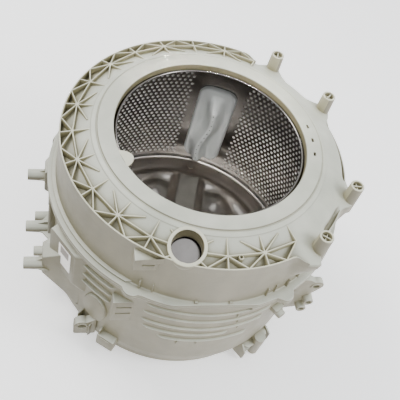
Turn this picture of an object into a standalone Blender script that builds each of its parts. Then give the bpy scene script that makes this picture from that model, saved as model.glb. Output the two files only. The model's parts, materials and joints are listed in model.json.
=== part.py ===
"""Outer tub and drum of a front-loading washing machine, lying on its back with the door opening up.

Units are metres. Z is the drum's axis, and Z = 0 is the plane of the rear rim that the assembly rests on.
-X is the side that is uppermost in the machine, where the upper counterweight is fixed, and +X is its
underside, where the dampers and the motor are fixed. Depths are measured down from the door lip.
"""

import math

import bmesh
import bpy
from mathutils import Matrix, Vector

MM = 0.001
GAP = 0.3 * MM
WELD_DISTANCE = 0.02 * MM
ASSEMBLY = "washer_tub_and_drum"
FINE = 48
MEDIUM = 20
SMALL = 12

# The two plastic halves of the tub
LIP_HEIGHT = 386.0 * MM
LIP_RADIUS = 155.0 * MM
RIM_RADIUS = 234.8 * MM
SEAM_DEPTH = 120.0 * MM
FLANGE_RADIUS = 250.5 * MM
FLAT_HALF_WIDTH = 241.5 * MM

# The star ribs of the front: a fan of hubs on one circle, centred on the -X side
HUB_RADIUS = 216.0 * MM
HUB_STEP = 14.84
HUBS_EACH_SIDE = 8
RIB_THICKNESS = 2.4 * MM
SPOKE_FOOT_RADIUS = 191.0 * MM
DIAGONAL_FOOT_RADIUS = 195.0 * MM
DIAGONAL_FOOT_SHARE = 0.61

# Fixing points
FRONT_BOSS_RADIUS = 240.5 * MM
FRONT_BOSS_ANGLES = (53.0, 23.8, -23.8, -53.0)
FRONT_BOSS_TOP = 5.5 * MM
BOSS_OUTER = 11.2 * MM
BOSS_BORE = 7.6 * MM
DISPENSER_HOLE = (-60.0 * MM, -202.3 * MM)
DISPENSER_HOLE_RADIUS = 23.1 * MM
DISPENSER_COLLAR_RADIUS = 28.5 * MM
TOP_BOSSES = ((94.0, 246.0), (0.0, 277.0), (-94.0, 246.0))
TOP_BOSS_TIP = 285.0 * MM
TOP_BOSS_RADIUS = 10.5 * MM
PAD_ANGLE = 146.0
PAD_DISTANCE = 252.5 * MM
PAD_OFFSET = 26.0 * MM
SPRING_LUG = (-190.0 * MM, 172.0 * MM)
SPRING_EYE = (-200.0 * MM, 316.0 * MM)
DAMPER_PLATE = (194.0 * MM, 168.0 * MM)
DAMPER_EYE = (208.0 * MM, 180.0 * MM)
DRAIN_DEPTH = 225.0 * MM
DRAIN_TIP = 285.0 * MM

# The drum
DRUM_RADIUS = 226.5 * MM
SHEET = 1.0 * MM
DRUM_SHOULDER_DEPTH = 45.0 * MM
DRUM_BACK_DEPTH = 330.0 * MM
LIFTER_COUNT = 3
LIFTER_ANGLE = 72.0
SPIDER_ANGLE = 75.0
ARM_TIP_RADIUS = 213.5 * MM
ARM_BOLT_RADIUS = 204.0 * MM

# The bearings, in the order outer radius, bore radius, width, depth of the drum-side face
SLEEVE_RADIUS = 30.0 * MM
FRONT_BEARING = (26.0 * MM, 12.5 * MM, 15.0 * MM, 323.0 * MM)
REAR_BEARING = (23.5 * MM, 10.0 * MM, 14.0 * MM, 355.0 * MM)
BALL_COUNT = 8
LABEL_THICKNESS = 0.5 * MM
LABEL_SIZE = (28.0 * MM, 55.0 * MM)
LABEL_DEPTH = 175.0 * MM
LABEL_OFFSET = 18.0 * MM

COLOURS = {
    "tub_plastic": ((0.62, 0.61, 0.56), 0.45, 0.0),
    "drum_steel": ((0.55, 0.54, 0.52), 0.18, 1.0),
    "lifter_plastic": ((0.33, 0.38, 0.34), 0.4, 0.0),
    "spider_alloy": ((0.60, 0.61, 0.62), 0.45, 1.0),
    "shaft_steel": ((0.50, 0.50, 0.50), 0.25, 1.0),
    "bearing_steel": ((0.62, 0.62, 0.62), 0.15, 1.0),
    "seal_rubber": ((0.03, 0.03, 0.03), 0.8, 0.0),
    "seal_ring_brass": ((0.70, 0.52, 0.25), 0.3, 1.0),
    "label_paper": ((0.75, 0.74, 0.70), 0.6, 0.0),
}


# ---------------------------------------------------------------- helpers


def clear_scene():
    for item in list(bpy.data.objects):
        bpy.data.objects.remove(item)


def make_collection(name):
    group = bpy.data.collections.new(name)
    bpy.context.scene.collection.children.link(group)
    return group


def make_material(name):
    colour, roughness, metallic = COLOURS[name]
    material = bpy.data.materials.get(name) or bpy.data.materials.new(name)
    material.use_nodes = True
    shader = material.node_tree.nodes["Principled BSDF"]
    shader.inputs["Base Color"].default_value = (*colour, 1.0)
    shader.inputs["Roughness"].default_value = roughness
    shader.inputs["Metallic"].default_value = metallic
    return material


def height(depth):
    """Height of a point that lies that far below the door lip."""
    return LIP_HEIGHT - depth


def polar(radius, degrees):
    angle = math.radians(degrees)
    return Vector((radius * math.cos(angle), radius * math.sin(angle)))


def at_depths(points):
    """A turned outline from pairs of radius and depth, both in millimetres."""
    return [(radius * MM, height(depth * MM)) for radius, depth in points]


def add_object(name, data, group):
    item = bpy.data.objects.new(name, data)
    group.objects.link(item)
    return item


def turned(name, outline, group, segments=FINE):
    """A solid of revolution. The outline is a closed loop, or runs from the axis back to the axis."""
    points = list(outline)
    following = points[1:] + points[:1]
    area = sum(r0 * z1 - r1 * z0 for (r0, z0), (r1, z1) in zip(points, following))
    if area > 0:
        points.reverse()
    edges = [(i, i + 1) for i in range(len(points) - 1)]
    if points[0][0] > 0:
        edges.append((len(points) - 1, 0))
    mesh = bpy.data.meshes.new(name)
    mesh.from_pydata([(radius, 0, z) for radius, z in points], edges, [])
    item = add_object(name, mesh, group)
    screw = item.modifiers.new("Turn", "SCREW")
    screw.angle = 2 * math.pi
    screw.steps = segments
    screw.render_steps = segments
    screw.use_merge_vertices = True
    screw.merge_threshold = 0.00001
    return item


def disc(name, radius, bottom, top, group, segments=SMALL, centre=(0, 0)):
    """A plain cylinder along Z."""
    mesh = bpy.data.meshes.new(name)
    shape = bmesh.new()
    bmesh.ops.create_cone(
        shape, cap_ends=True, segments=segments, radius1=radius, radius2=radius, depth=top - bottom
    )
    shape.to_mesh(mesh)
    shape.free()
    item = add_object(name, mesh, group)
    item.location = (centre[0], centre[1], (top + bottom) / 2)
    return item


def rod(name, radius, start, end, group, segments=SMALL, end_radius=None):
    """A cylinder or a cone from one point to another."""
    start = Vector(start)
    end = Vector(end)
    along = end - start
    mesh = bpy.data.meshes.new(name)
    shape = bmesh.new()
    bmesh.ops.create_cone(
        shape,
        cap_ends=True,
        segments=segments,
        radius1=radius,
        radius2=radius if end_radius is None else end_radius,
        depth=along.length,
    )
    shape.to_mesh(mesh)
    shape.free()
    item = add_object(name, mesh, group)
    turn = Vector((0, 0, 1)).rotation_difference(along).to_matrix().to_4x4()
    item.matrix_world = Matrix.Translation((start + end) / 2) @ turn
    return item


def block(name, size, centre, group, degrees=0.0):
    """A box turned about Z by the given angle."""
    mesh = bpy.data.meshes.new(name)
    shape = bmesh.new()
    bmesh.ops.create_cube(shape, size=1.0)
    bmesh.ops.scale(shape, vec=size, verts=shape.verts)
    shape.to_mesh(mesh)
    shape.free()
    item = add_object(name, mesh, group)
    item.matrix_world = Matrix.Translation(centre) @ Matrix.Rotation(math.radians(degrees), 4, "Z")
    return item


def standing_block(name, radii, width, depths, degrees):
    """A box between two radii and two depths, lying along the radius at the given angle, in millimetres."""
    inner, outer = radii
    upper, lower = depths
    middle = polar((inner + outer) / 2 * MM, degrees)
    size = ((outer - inner) * MM, width * MM, (lower - upper) * MM)
    return block(name, size, (middle.x, middle.y, height((upper + lower) / 2 * MM)), cutters, degrees)


def extruded(name, outlines, bottom, top, group):
    """Flat outlines in the XY plane, each made a prism between two heights."""
    curve = bpy.data.curves.new(name, "CURVE")
    curve.dimensions = "2D"
    curve.fill_mode = "BOTH"
    curve.extrude = (top - bottom) / 2
    for outline in outlines:
        spline = curve.splines.new("POLY")
        spline.points.add(len(outline) - 1)
        for point, place in zip(spline.points, outline):
            point.co = (place[0], place[1], 0, 1)
        spline.use_cyclic_u = True
    source = add_object(name + "_outline", curve, group)
    source.location.z = (top + bottom) / 2
    bpy.context.view_layer.update()
    graph = bpy.context.evaluated_depsgraph_get()
    mesh = bpy.data.meshes.new_from_object(source.evaluated_get(graph))
    shape = bmesh.new()
    shape.from_mesh(mesh)
    bmesh.ops.remove_doubles(shape, verts=shape.verts, dist=0.000001)
    bmesh.ops.recalc_face_normals(shape, faces=shape.faces)
    if shape.calc_volume(signed=True) < 0:
        bmesh.ops.reverse_faces(shape, faces=shape.faces)
    shape.to_mesh(mesh)
    shape.free()
    item = add_object(name, mesh, group)
    item.matrix_world = source.matrix_world
    bpy.data.objects.remove(source)
    return item


def ring_sector(inner, outer, start, end, steps):
    """The flat outline of a piece of a ring between two angles."""
    sweep = [start + (end - start) * i / steps for i in range(steps + 1)]
    return [polar(outer, a) for a in sweep] + [polar(inner, a) for a in reversed(sweep)]


def combine(item, operation, pieces, solver="EXACT"):
    """Joins the pieces to an object, cuts them out of it, or keeps what they share."""
    group = bpy.data.collections.new(item.name + "_" + operation.lower())
    cutters.children.link(group)
    for piece in pieces:
        for owner in list(piece.users_collection):
            owner.objects.unlink(piece)
        group.objects.link(piece)
        piece.hide_render = True
        piece.display_type = "WIRE"
    modifier = item.modifiers.new(operation.title(), "BOOLEAN")
    modifier.operation = operation
    modifier.solver = solver
    modifier.operand_type = "COLLECTION"
    modifier.collection = group
    return item


def finish(item, material):
    """Gives a part its material, and closes the hairline gaps that a cut can leave."""
    item.data.materials.clear()
    item.data.materials.append(make_material(material))
    if any(modifier.type == "BOOLEAN" for modifier in item.modifiers):
        weld = item.modifiers.new("Weld", "WELD")
        weld.merge_threshold = WELD_DISTANCE
    return item


def inset(points, distance):
    """A convex outline moved inwards by a distance."""
    centre = sum(points, Vector((0, 0))) / len(points)
    lines = []
    for here, there in zip(points, points[1:] + points[:1]):
        along = (there - here).normalized()
        normal = Vector((-along.y, along.x))
        if normal.dot(centre - here) < 0:
            normal = -normal
        lines.append((here + normal * distance, along))
    corners = []
    for (p, d), (q, e) in zip(lines[-1:] + lines[:-1], lines):
        cross = d.x * e.y - d.y * e.x
        t = ((q.x - p.x) * e.y - (q.y - p.y) * e.x) / cross
        corners.append(p + d * t)
    return corners


# ---------------------------------------------------------------- front half of the tub


def lattice_pockets():
    """The pockets between the star ribs, as flat outlines: five between each pair of hubs."""
    outer = RIM_RADIUS - RIB_THICKNESS / 2
    outlines = []
    for k in range(-HUBS_EACH_SIDE, HUBS_EACH_SIDE):
        here = 180 + k * HUB_STEP
        there = here + HUB_STEP
        middle = here + HUB_STEP / 2
        hubs = [polar(HUB_RADIUS, here), polar(HUB_RADIUS, there)]
        node = polar(outer, middle)
        outlines.append([hubs[0], polar(outer, here), node])
        outlines.append([hubs[1], polar(outer, there), node])
        outlines.append([hubs[0], hubs[1], node])
        big = 0 if k % 2 else 1
        big_angle = (here, there)[big]
        small_angle = (here, there)[1 - big]
        foot_angle = big_angle + (small_angle - big_angle) * DIAGONAL_FOOT_SHARE
        foot = polar(DIAGONAL_FOOT_RADIUS, foot_angle)
        outlines.append([hubs[big], polar(SPOKE_FOOT_RADIUS, big_angle), foot])
        outlines.append([hubs[big], foot, polar(SPOKE_FOOT_RADIUS, small_angle), hubs[1 - big]])
    return [inset(outline, RIB_THICKNESS / 2) for outline in outlines]


def star_lattice():
    """The fan of star ribs: a conical ring, cut to its sector, with the pockets taken out."""
    outline = [(187.0, 4.4), (234.9, 16.7), (234.9, 33.2), (228.0, 30.0), (187.0, 5.2)]
    ring = turned("star_lattice", at_depths(outline), cutters)
    half = HUB_STEP * HUBS_EACH_SIDE + 0.3
    reach = 300 * MM
    sector = [polar(reach, a) for a in (180 + half, 270, 315, 0, 45, 90, 180 - half)] + [Vector((0, 0))]
    wedge = extruded("open_sector", [sector], height(60 * MM), height(-20 * MM), cutters)
    pockets = extruded("pockets", lattice_pockets(), height(60 * MM), height(-20 * MM), cutters)
    return combine(ring, "DIFFERENCE", [wedge, pockets])


def front_bosses():
    """Tall tubes for the front counterweight, each on a lobe that runs down the skirt."""
    tubes = []
    bores = []
    webs = []
    for i, angle in enumerate(FRONT_BOSS_ANGLES):
        centre = polar(FRONT_BOSS_RADIUS, angle)
        tip = height(-FRONT_BOSS_TOP)
        top = (centre.x, centre.y, height(30 * MM))
        foot = polar(RIM_RADIUS - 4 * MM, angle)
        tubes.append(disc(f"boss_{i}", BOSS_OUTER, height(34 * MM), tip, cutters, centre=centre))
        lobe = (foot.x, foot.y, height(84 * MM))
        tubes.append(rod(f"lobe_{i}", 13.5 * MM, lobe, top, cutters, end_radius=13.0 * MM))
        bores.append(
            disc(f"bore_{i}", BOSS_BORE, height(24 * MM), tip + 5 * MM, cutters, centre=centre)
        )
        size = (2 * BOSS_BORE + 1 * MM, 2 * MM, 22 * MM)
        middle = (centre.x, centre.y, height(10 * MM))
        webs.append(block(f"boss_web_{i}", size, middle, cutters, angle + 20))
    return tubes, bores, webs


def dispenser_collar():
    """The thick rim round the inlet hole: the piece of a conical ring that a cylinder cuts out."""
    outline = [(176.0, 3.2), (182.8, 2.6), (245.0, 19.9), (245.0, 37.0), (229.0, 29.5), (176.0, 5.0)]
    ring = turned("dispenser_collar", at_depths(outline), cutters)
    post = disc(
        "collar_post",
        DISPENSER_COLLAR_RADIUS,
        height(60 * MM),
        height(-20 * MM),
        cutters,
        segments=MEDIUM,
        centre=DISPENSER_HOLE,
    )
    return combine(ring, "INTERSECT", [post])


def lip_tab():
    """The rounded tongue that reaches into the door opening."""
    outline = [polar(157 * MM, 209), polar(157 * MM, 195)]
    outline += [polar(LIP_RADIUS, 196)]
    for step in range(1, 8):
        share = step / 8
        reach = 16 * MM * math.sin(math.pi * share) ** 0.6
        outline.append(polar(LIP_RADIUS - reach, 196.5 + 12.0 * share))
    outline += [polar(LIP_RADIUS, 208.8)]
    return extruded("lip_tab", [outline], height(3.2 * MM), height(0.4 * MM), cutters)


def front_tub_cover():
    """The front half: a solid turned to its outer shape, with its ribs and fixings, then hollowed."""
    flange = FLANGE_RADIUS / MM
    seam = (SEAM_DEPTH - GAP) / MM
    outline = [
        (155.0, 1.2),
        (156.2, 0.0),
        (179.8, 0.4),
        (180.2, 3.0),
        (182.2, 3.0),
        (182.8, 2.2),
        (190.0, 4.5),
        (229.0, 27.0),
        (233.5, 31.0),
        (234.6, 36.0),
        (237.6, 113.0),
        (flange, 114.0),
        (flange, seam),
        (155.0, seam),
    ]
    inside = [
        (152.0, 13.0),
        (158.0, 13.0),
        (158.0, 3.6),
        (183.0, 6.2),
        (190.0, 8.4),
        (227.5, 31.0),
        (230.5, 34.0),
        (231.8, 37.5),
        (235.2, 130.0),
        (152.0, 130.0),
    ]
    cover = turned("front_tub_cover", at_depths(outline), parts)
    tubes, bores, webs = front_bosses()
    details = [star_lattice(), dispenser_collar(), lip_tab(), *tubes]
    bracket_size = (35 * MM, 26 * MM, 27 * MM)
    bracket_middle = (-114.5 * MM, -203 * MM, height(40.5 * MM))
    details.append(block("hose_bracket", bracket_size, bracket_middle, cutters))
    for i, angle in enumerate((241.5, 246.3, 289.8, 297.0)):
        details.append(standing_block(f"skirt_rib_{i}", (233, 243), RIB_THICKNESS / MM, (96, 116), angle))
    for i, (angle, radius) in enumerate(((239.0, 257.0), (297.0, 263.0), (121.0, 257.0), (63.0, 263.0))):
        details.append(standing_block(f"seam_corner_{i}", (232, radius), 22, (106, 118.9), angle))
    combine(cover, "UNION", details)
    room = turned("cover_room", at_depths(inside), cutters)
    hole = disc(
        "dispenser_hole",
        DISPENSER_HOLE_RADIUS,
        height(80 * MM),
        height(-20 * MM),
        cutters,
        segments=MEDIUM,
        centre=DISPENSER_HOLE,
    )
    slots = []
    for i, angle in enumerate((9.1, -1.0, -11.1)):
        slots.append(standing_block(f"lip_slot_{i}", (167.2, 168.9), 7, (-5, 20), angle))
    recess = block(
        "bracket_slot",
        (16 * MM, 12 * MM, 3.6 * MM),
        (-111 * MM, -216 * MM, height(40.7 * MM)),
        cutters,
    )
    sides = []
    for i, side in enumerate((1, -1)):
        centre = (0, side * (FLAT_HALF_WIDTH + 20 * MM), height(60 * MM))
        sides.append(block(f"cover_flat_{i}", (600 * MM, 40 * MM, 140 * MM), centre, cutters))
    combine(cover, "DIFFERENCE", [room, hole, recess, *slots, *sides, *bores])
    combine(cover, "UNION", webs)
    return finish(cover, "tub_plastic")


# ---------------------------------------------------------------- rear half of the tub


def wall_ribs():
    """Hoops round parts of the outside of the rear half, the same on its two sides."""
    ribs = []
    for depth in (153, 178, 205, 248):
        for start, end in ((247, 297), (63, 113)):
            outline = ring_sector(233.5 * MM, 241.3 * MM, start, end, 6)
            low = height((depth + 1.3) * MM)
            ribs.append(extruded(f"hoop_{depth}_{start}", [outline], low, low + 2.6 * MM, cutters))
    for depth in (158, 182, 204):
        for start, end in ((203, 233), (127, 157)):
            outline = ring_sector(233.5 * MM, 243.0 * MM, start, end, 5)
            low = height((depth + 1.5) * MM)
            ribs.append(extruded(f"hoop_{depth}_{start}", [outline], low, low + 3.0 * MM, cutters))
    return ribs


def back_ribs():
    """Radial ribs and one ring that stiffen the rear wall round the bearing hub."""
    ribs = []
    for i in range(12):
        ribs.append(standing_block(f"back_rib_{i}", (44, 219), 3.2, (325, 383), 15 + 30 * i))
    ring = [(128.0, 383.0), (128.0, 338.0), (131.2, 338.0), (131.2, 383.0)]
    ribs.append(turned("back_ring", at_depths(ring), cutters))
    return ribs


def top_bosses():
    """Three tubes towards the machine's top, on two saddles and a gusset, for the upper counterweight."""
    pieces = []
    bores = []
    for i, (side, depth) in enumerate(TOP_BOSSES):
        y = side * MM
        z = height(depth * MM)
        foot, floor, tip, past_tip = ((-x * MM, y, z) for x in (215, 261, TOP_BOSS_TIP / MM, 290))
        pieces.append(rod(f"top_boss_{i}", TOP_BOSS_RADIUS, foot, tip, cutters))
        bores.append(rod(f"top_bore_{i}", 6.5 * MM, floor, past_tip, cutters))
    for i, side in enumerate((1, -1)):
        saddle = [(-255, 74), (-255, 103), (-222, 120), (-190, 140), (-190, 74)]
        outline = [(x * MM, side * y * MM) for x, y in saddle]
        pieces.append(extruded(f"saddle_{i}", [outline], height(272 * MM), height(212 * MM), cutters))
    gusset = [(-262, -5), (-262, 5), (-228, 40), (-228, -40)]
    outline = [(x * MM, y * MM) for x, y in gusset]
    pieces.append(extruded("gusset", [outline], height(279 * MM), height(275 * MM), cutters))
    return pieces, bores


def eye_along_y(name, radius, x, depth, side):
    """A bore along Y, on one side of the tub."""
    z = height(depth)
    return rod(name, radius, (x, side * 130 * MM, z), (x, side * 210 * MM, z), cutters)


def pad_block(name, side, distance, offset, size, depth, group):
    """A box square to the flat pads beside the saddles, its offset counted towards the machine's top."""
    degrees = side * PAD_ANGLE
    middle = polar(distance, degrees) + polar(offset, degrees + side * 90)
    return block(name, size, (middle.x, middle.y, height(depth)), group, degrees)


def hanging_lugs():
    """Lugs for the two suspension springs, each with an eye through it, on a short shelf."""
    pieces = []
    eyes = []
    x, y = SPRING_LUG
    for i, side in enumerate((-1, 1)):
        middle = (x, side * y, height(319 * MM))
        pieces.append(block(f"spring_lug_{i}", (44 * MM, 14 * MM, 54 * MM), middle, cutters))
        pieces.append(standing_block(f"spring_shelf_{i}", (226, 262), 40, (340, 346), 180 - side * 43))
        eyes.append(eye_along_y(f"spring_eye_{i}", 7 * MM, *SPRING_EYE, side))
    return pieces, eyes


def damper_lugs():
    """Brackets under the tub for the two dampers: a plate with an eye, and two stub tubes beside it."""
    pieces = []
    eyes = []
    x, y = DAMPER_PLATE
    for i, side in enumerate((-1, 1)):
        middle = (x, side * y, height(187 * MM))
        pieces.append(block(f"damper_plate_{i}", (58 * MM, 12 * MM, 54 * MM), middle, cutters))
        eyes.append(eye_along_y(f"damper_eye_{i}", 6 * MM, *DAMPER_EYE, side))
        for j, (turn, depth) in enumerate(((44.0, 196.0), (50.0, 214.0))):
            z = height(depth * MM)
            inner, outer, deep, past = (polar(radius * MM, side * turn) for radius in (228, 264, 250, 270))
            pieces.append(rod(f"damper_stub_{i}_{j}", 10 * MM, (*inner, z), (*outer, z), cutters))
            eyes.append(rod(f"damper_bore_{i}_{j}", 5 * MM, (*deep, z), (*past, z), cutters))
    return pieces, eyes


def motor_lugs():
    """Two tubular lugs on the rear edge, along the axis, for the motor's fixing pins."""
    pieces = []
    bores = []
    for i, angle in enumerate((-55.0, 55.0)):
        centre = polar(246 * MM, angle)
        low = height(384 * MM)
        pieces.append(disc(f"motor_tube_{i}", 12 * MM, low, height(326 * MM), cutters, centre=centre))
        pieces.append(standing_block(f"motor_web_{i}", (222, 246), 16, (326, 384), angle))
        bores.append(disc(f"motor_bore_{i}", 6 * MM, low - 6 * MM, height(350 * MM), cutters, centre=centre))
    return pieces, bores


def rear_tub_half():
    """The rear half: a solid turned to its outer shape, with its ribs and lugs, then hollowed."""
    flange = FLANGE_RADIUS / MM
    seam = (SEAM_DEPTH + GAP) / MM
    outline = [
        (0.0, seam),
        (flange, seam),
        (flange, 126.0),
        (238.6, 128.0),
        (236.5, 325.0),
        (234.5, 340.0),
        (228.0, 352.0),
        (222.5, 364.0),
        (220.6, 386.0),
        (216.6, 386.0),
        (216.6, 356.5),
        (205.0, 354.5),
        (70.0, 330.0),
        (42.0, 328.0),
        (38.0, 370.0),
        (0.0, 370.0),
    ]
    half = turned("rear_tub_half", at_depths(outline), parts)
    bosses, bores = top_bosses()
    hangers, eyes = hanging_lugs()
    dampers, damper_eyes = damper_lugs()
    motors, motor_bores = motor_lugs()
    details = [*wall_ribs(), *back_ribs(), *bosses, *hangers, *dampers, *motors]
    for i, side in enumerate((1, -1)):
        size = (30 * MM, 64 * MM, 88 * MM)
        middle = PAD_DISTANCE - size[0] / 2
        details.append(pad_block(f"pad_{i}", side, middle, PAD_OFFSET, size, 182 * MM, cutters))
        box_size = (35 * MM, 19 * MM, 63 * MM)
        box_middle = (-129.5 * MM, side * 199.5 * MM, height(199.5 * MM))
        details.append(block(f"slotted_box_{i}", box_size, box_middle, cutters))
        details.append(standing_block(f"foot_pad_{i}", (222, 250), 34, (318, 352), side * 125.0))
    drain = height(DRAIN_DEPTH)
    foot, tip, past_tip = ((x, 0, drain) for x in (228 * MM, DRAIN_TIP, DRAIN_TIP + 5 * MM))
    details.append(rod("drain_spigot", 33 * MM, foot, tip, cutters, MEDIUM))
    combine(half, "UNION", details)
    inside = [
        (0.0, 100.0),
        (235.2, 100.0),
        (233.2, 324.0),
        (230.5, 339.0),
        (224.0, 349.5),
        (205.0, 350.0),
        (60.0, 322.0),
        (36.0, 316.8),
        (30.3, 317.3),
        (30.3, 400.0),
        (0.0, 400.0),
    ]
    room = turned("tub_room", at_depths(inside), cutters)
    bore = rod("drain_bore", 29.5 * MM, (215 * MM, 0, drain), past_tip, cutters, MEDIUM)
    slots = []
    for depth in (185, 205):
        for side in (1, -1):
            middle = (-128 * MM, side * 208 * MM, height(depth * MM))
            slots.append(block(f"box_slot_{depth}_{side}", (23 * MM, 10 * MM, 4 * MM), middle, cutters))
    sides = []
    for i, side in enumerate((1, -1)):
        centre = (0, side * (FLAT_HALF_WIDTH + 20 * MM), height(125 * MM))
        sides.append(block(f"rear_flat_{i}", (600 * MM, 40 * MM, 12 * MM), centre, cutters))
    cuts = [room, bore, *slots, *sides, *bores, *eyes, *damper_eyes, *motor_bores]
    combine(half, "DIFFERENCE", cuts)
    return finish(half, "tub_plastic")


# ---------------------------------------------------------------- drum


def drum_front():
    """The front end of the drum, with the rolled edge of its opening."""
    rolled = []
    for step in range(4):
        angle = math.radians(205 - 80 * step)
        rolled.append((150.9 + 1.7 * math.cos(angle), 11.3 - 1.7 * math.sin(angle)))
    outer = [(157.0, 17.4), (217.0, 37.0), (226.5, 44.7)]
    under = [(225.5, 44.7), (216.4, 38.0), (156.2, 18.3)]
    item = turned("drum_front", at_depths(rolled + outer + under), parts)
    return finish(item, "drum_steel")


def drum_wrapper():
    """The drum's cylindrical wall."""
    inner = DRUM_RADIUS - SHEET
    top = height(DRUM_SHOULDER_DEPTH)
    bottom = height(DRUM_BACK_DEPTH - GAP)
    outline = [(DRUM_RADIUS, top), (DRUM_RADIUS, bottom), (inner, bottom), (inner, top)]
    return finish(turned("drum_wrapper", outline, parts), "drum_steel")


def arm_bolt_holes(name):
    """Cutters for the holes that the spider's bolts go through."""
    holes = []
    for i in range(LIFTER_COUNT):
        centre = polar(ARM_BOLT_RADIUS, SPIDER_ANGLE + 120 * i)
        low, high = height(350 * MM), height(310 * MM)
        holes.append(disc(f"{name}_{i}", 4.4 * MM, low, high, cutters, centre=centre))
    return holes


def drum_back():
    """The back of the drum, pressed forwards in the middle to make room for the spider."""
    outline = [
        (226.5, 330.0),
        (226.5, 333.5),
        (214.0, 334.8),
        (196.0, 331.6),
        (168.0, 311.0),
        (30.0, 281.4),
        (0.0, 281.4),
        (0.0, 280.4),
        (30.2, 280.4),
        (168.6, 310.0),
        (196.5, 330.6),
        (214.0, 333.8),
        (225.5, 332.6),
        (225.5, 330.0),
    ]
    item = turned("drum_back", at_depths(outline), parts)
    combine(item, "DIFFERENCE", arm_bolt_holes("back_bolt_hole"))
    return finish(item, "drum_steel")


def lifter(index):
    """A moulded paddle on the drum wall: a broad base that narrows to a rounded crest, with sloping ends."""
    angle = LIFTER_ANGLE + 120 * index
    seat = DRUM_RADIUS - SHEET - 0.8 * MM
    half = 10.0
    base = [polar(seat, angle + half * (1 - step / 4)) for step in range(9)]
    rise = ((205, 7.6), (193, 5.0), (189, 2.0))
    crest = [polar(radius * MM, angle - turn) for radius, turn in rise]
    crest += [polar(radius * MM, angle + turn) for radius, turn in reversed(rise)]
    body = extruded(f"lifter_{index + 1}", [base + crest], height(308 * MM), height(104 * MM), parts)
    ends = []
    for j, (depth, slope) in enumerate(((100.0, -1), (312.0, 1))):
        centre = polar(186 * MM, angle)
        end = block(f"lifter_end_{index}_{j}", (60 * MM, 120 * MM, 40 * MM), (0, 0, 0), cutters)
        tilt = Matrix.Rotation(math.radians(slope * 34), 4, "Y")
        turn = Matrix.Rotation(math.radians(angle), 4, "Z")
        place = Matrix.Translation((centre.x, centre.y, height((depth + slope * 6) * MM)))
        end.matrix_world = place @ turn @ tilt
        ends.append(end)
    combine(body, "DIFFERENCE", ends)
    return finish(body, "lifter_plastic")


def spider():
    """The cast three-armed carrier behind the drum, with a tapered hub round the shaft."""
    hub = [(13.6, 282.0), (24.0, 282.0), (29.0, 288.0), (31.0, 305.0), (24.0, 309.0), (13.6, 309.0)]
    item = turned("spider", at_depths(hub), parts, MEDIUM)
    tip = ARM_TIP_RADIUS / MM
    section = [
        (18.0, 286.0),
        (70.0, 290.6),
        (168.0, 314.6),
        (190.0, 331.5),
        (tip, 336.2),
        (tip, 340.6),
        (186.0, 340.6),
        (60.0, 314.0),
        (18.0, 307.0),
    ]
    arms = []
    for i in range(LIFTER_COUNT):
        angle = SPIDER_ANGLE + 120 * i
        side = polar(1.0, angle + 90)
        outline = []
        for radius, half in ((22.0, 17.0), (60.0, 13.0), (180.0, 10.0), (tip + 1.0, 13.0)):
            point = polar(radius * MM, angle)
            outline.append((point, half * MM))
        loop = [p + side * w for p, w in outline] + [p - side * w for p, w in reversed(outline)]
        prism = extruded(f"arm_{i}", [loop], height(360 * MM), height(260 * MM), cutters)
        shape = turned(f"arm_section_{i}", at_depths(section), cutters)
        arms.append(combine(shape, "INTERSECT", [prism]))
    combine(item, "UNION", arms)
    bore = disc("spider_bore", 13.6 * MM, height(320 * MM), height(270 * MM), cutters, MEDIUM)
    combine(item, "DIFFERENCE", [bore, *arm_bolt_holes("arm_bolt_hole")])
    return finish(item, "spider_alloy")


def spider_bolt(index):
    """A hexagon-headed bolt that draws an arm tip against the drum's back, with its crown in the drum."""
    centre = polar(ARM_BOLT_RADIUS, SPIDER_ANGLE + 120 * index)
    head_end, head_face, crown_face, crown_end = (height(d * MM) for d in (346.5, 341.0, 329.6, 327.4))
    item = disc(f"spider_bolt_{index + 1}", 4.0 * MM, head_face - MM, crown_end - MM, parts, centre=centre)
    head = disc(f"bolt_head_{index}", 7.2 * MM, head_end, head_face, cutters, 6, centre)
    crown = disc(f"bolt_crown_{index}", 7.0 * MM, crown_face, crown_end, cutters, centre=centre)
    combine(item, "UNION", [head, crown])
    return finish(item, "shaft_steel")


def shaft():
    outline = [
        (0.0, 283.0),
        (12.0, 283.0),
        (13.2, 284.5),
        (13.2, 308.0),
        (12.4, 309.0),
        (12.4, 347.0),
        (9.9, 348.5),
        (9.9, 382.5),
        (8.4, 384.0),
        (3.4, 384.0),
        (3.4, 366.0),
        (0.0, 364.0),
    ]
    item = turned("drum_shaft", at_depths(outline), parts, MEDIUM)
    flats = []
    for i, side in enumerate((1, -1)):
        centre = (0, side * 12.0 * MM, height(378 * MM))
        flats.append(block(f"shaft_flat_{i}", (30 * MM, 8 * MM, 14 * MM), centre, cutters))
    combine(item, "DIFFERENCE", flats)
    return finish(item, "shaft_steel")


# ---------------------------------------------------------------- bearings and seal


def bearing_sleeve():
    """The metal insert that the rear half is moulded round, stepped for the seal and the two bearings."""
    outer = SLEEVE_RADIUS / MM
    front = FRONT_BEARING[0] / MM + 0.3
    rear = REAR_BEARING[0] / MM + 0.3
    outline = [
        (front + 0.2, 312.3),
        (35.4, 312.3),
        (35.4, 316.3),
        (outer, 317.0),
        (outer, 369.7),
        (rear, 369.7),
        (rear, 354.7),
        (20.5, 354.0),
        (20.5, 338.6),
        (front, 338.3),
    ]
    return finish(turned("bearing_sleeve", at_depths(outline), parts, MEDIUM), "spider_alloy")


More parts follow.
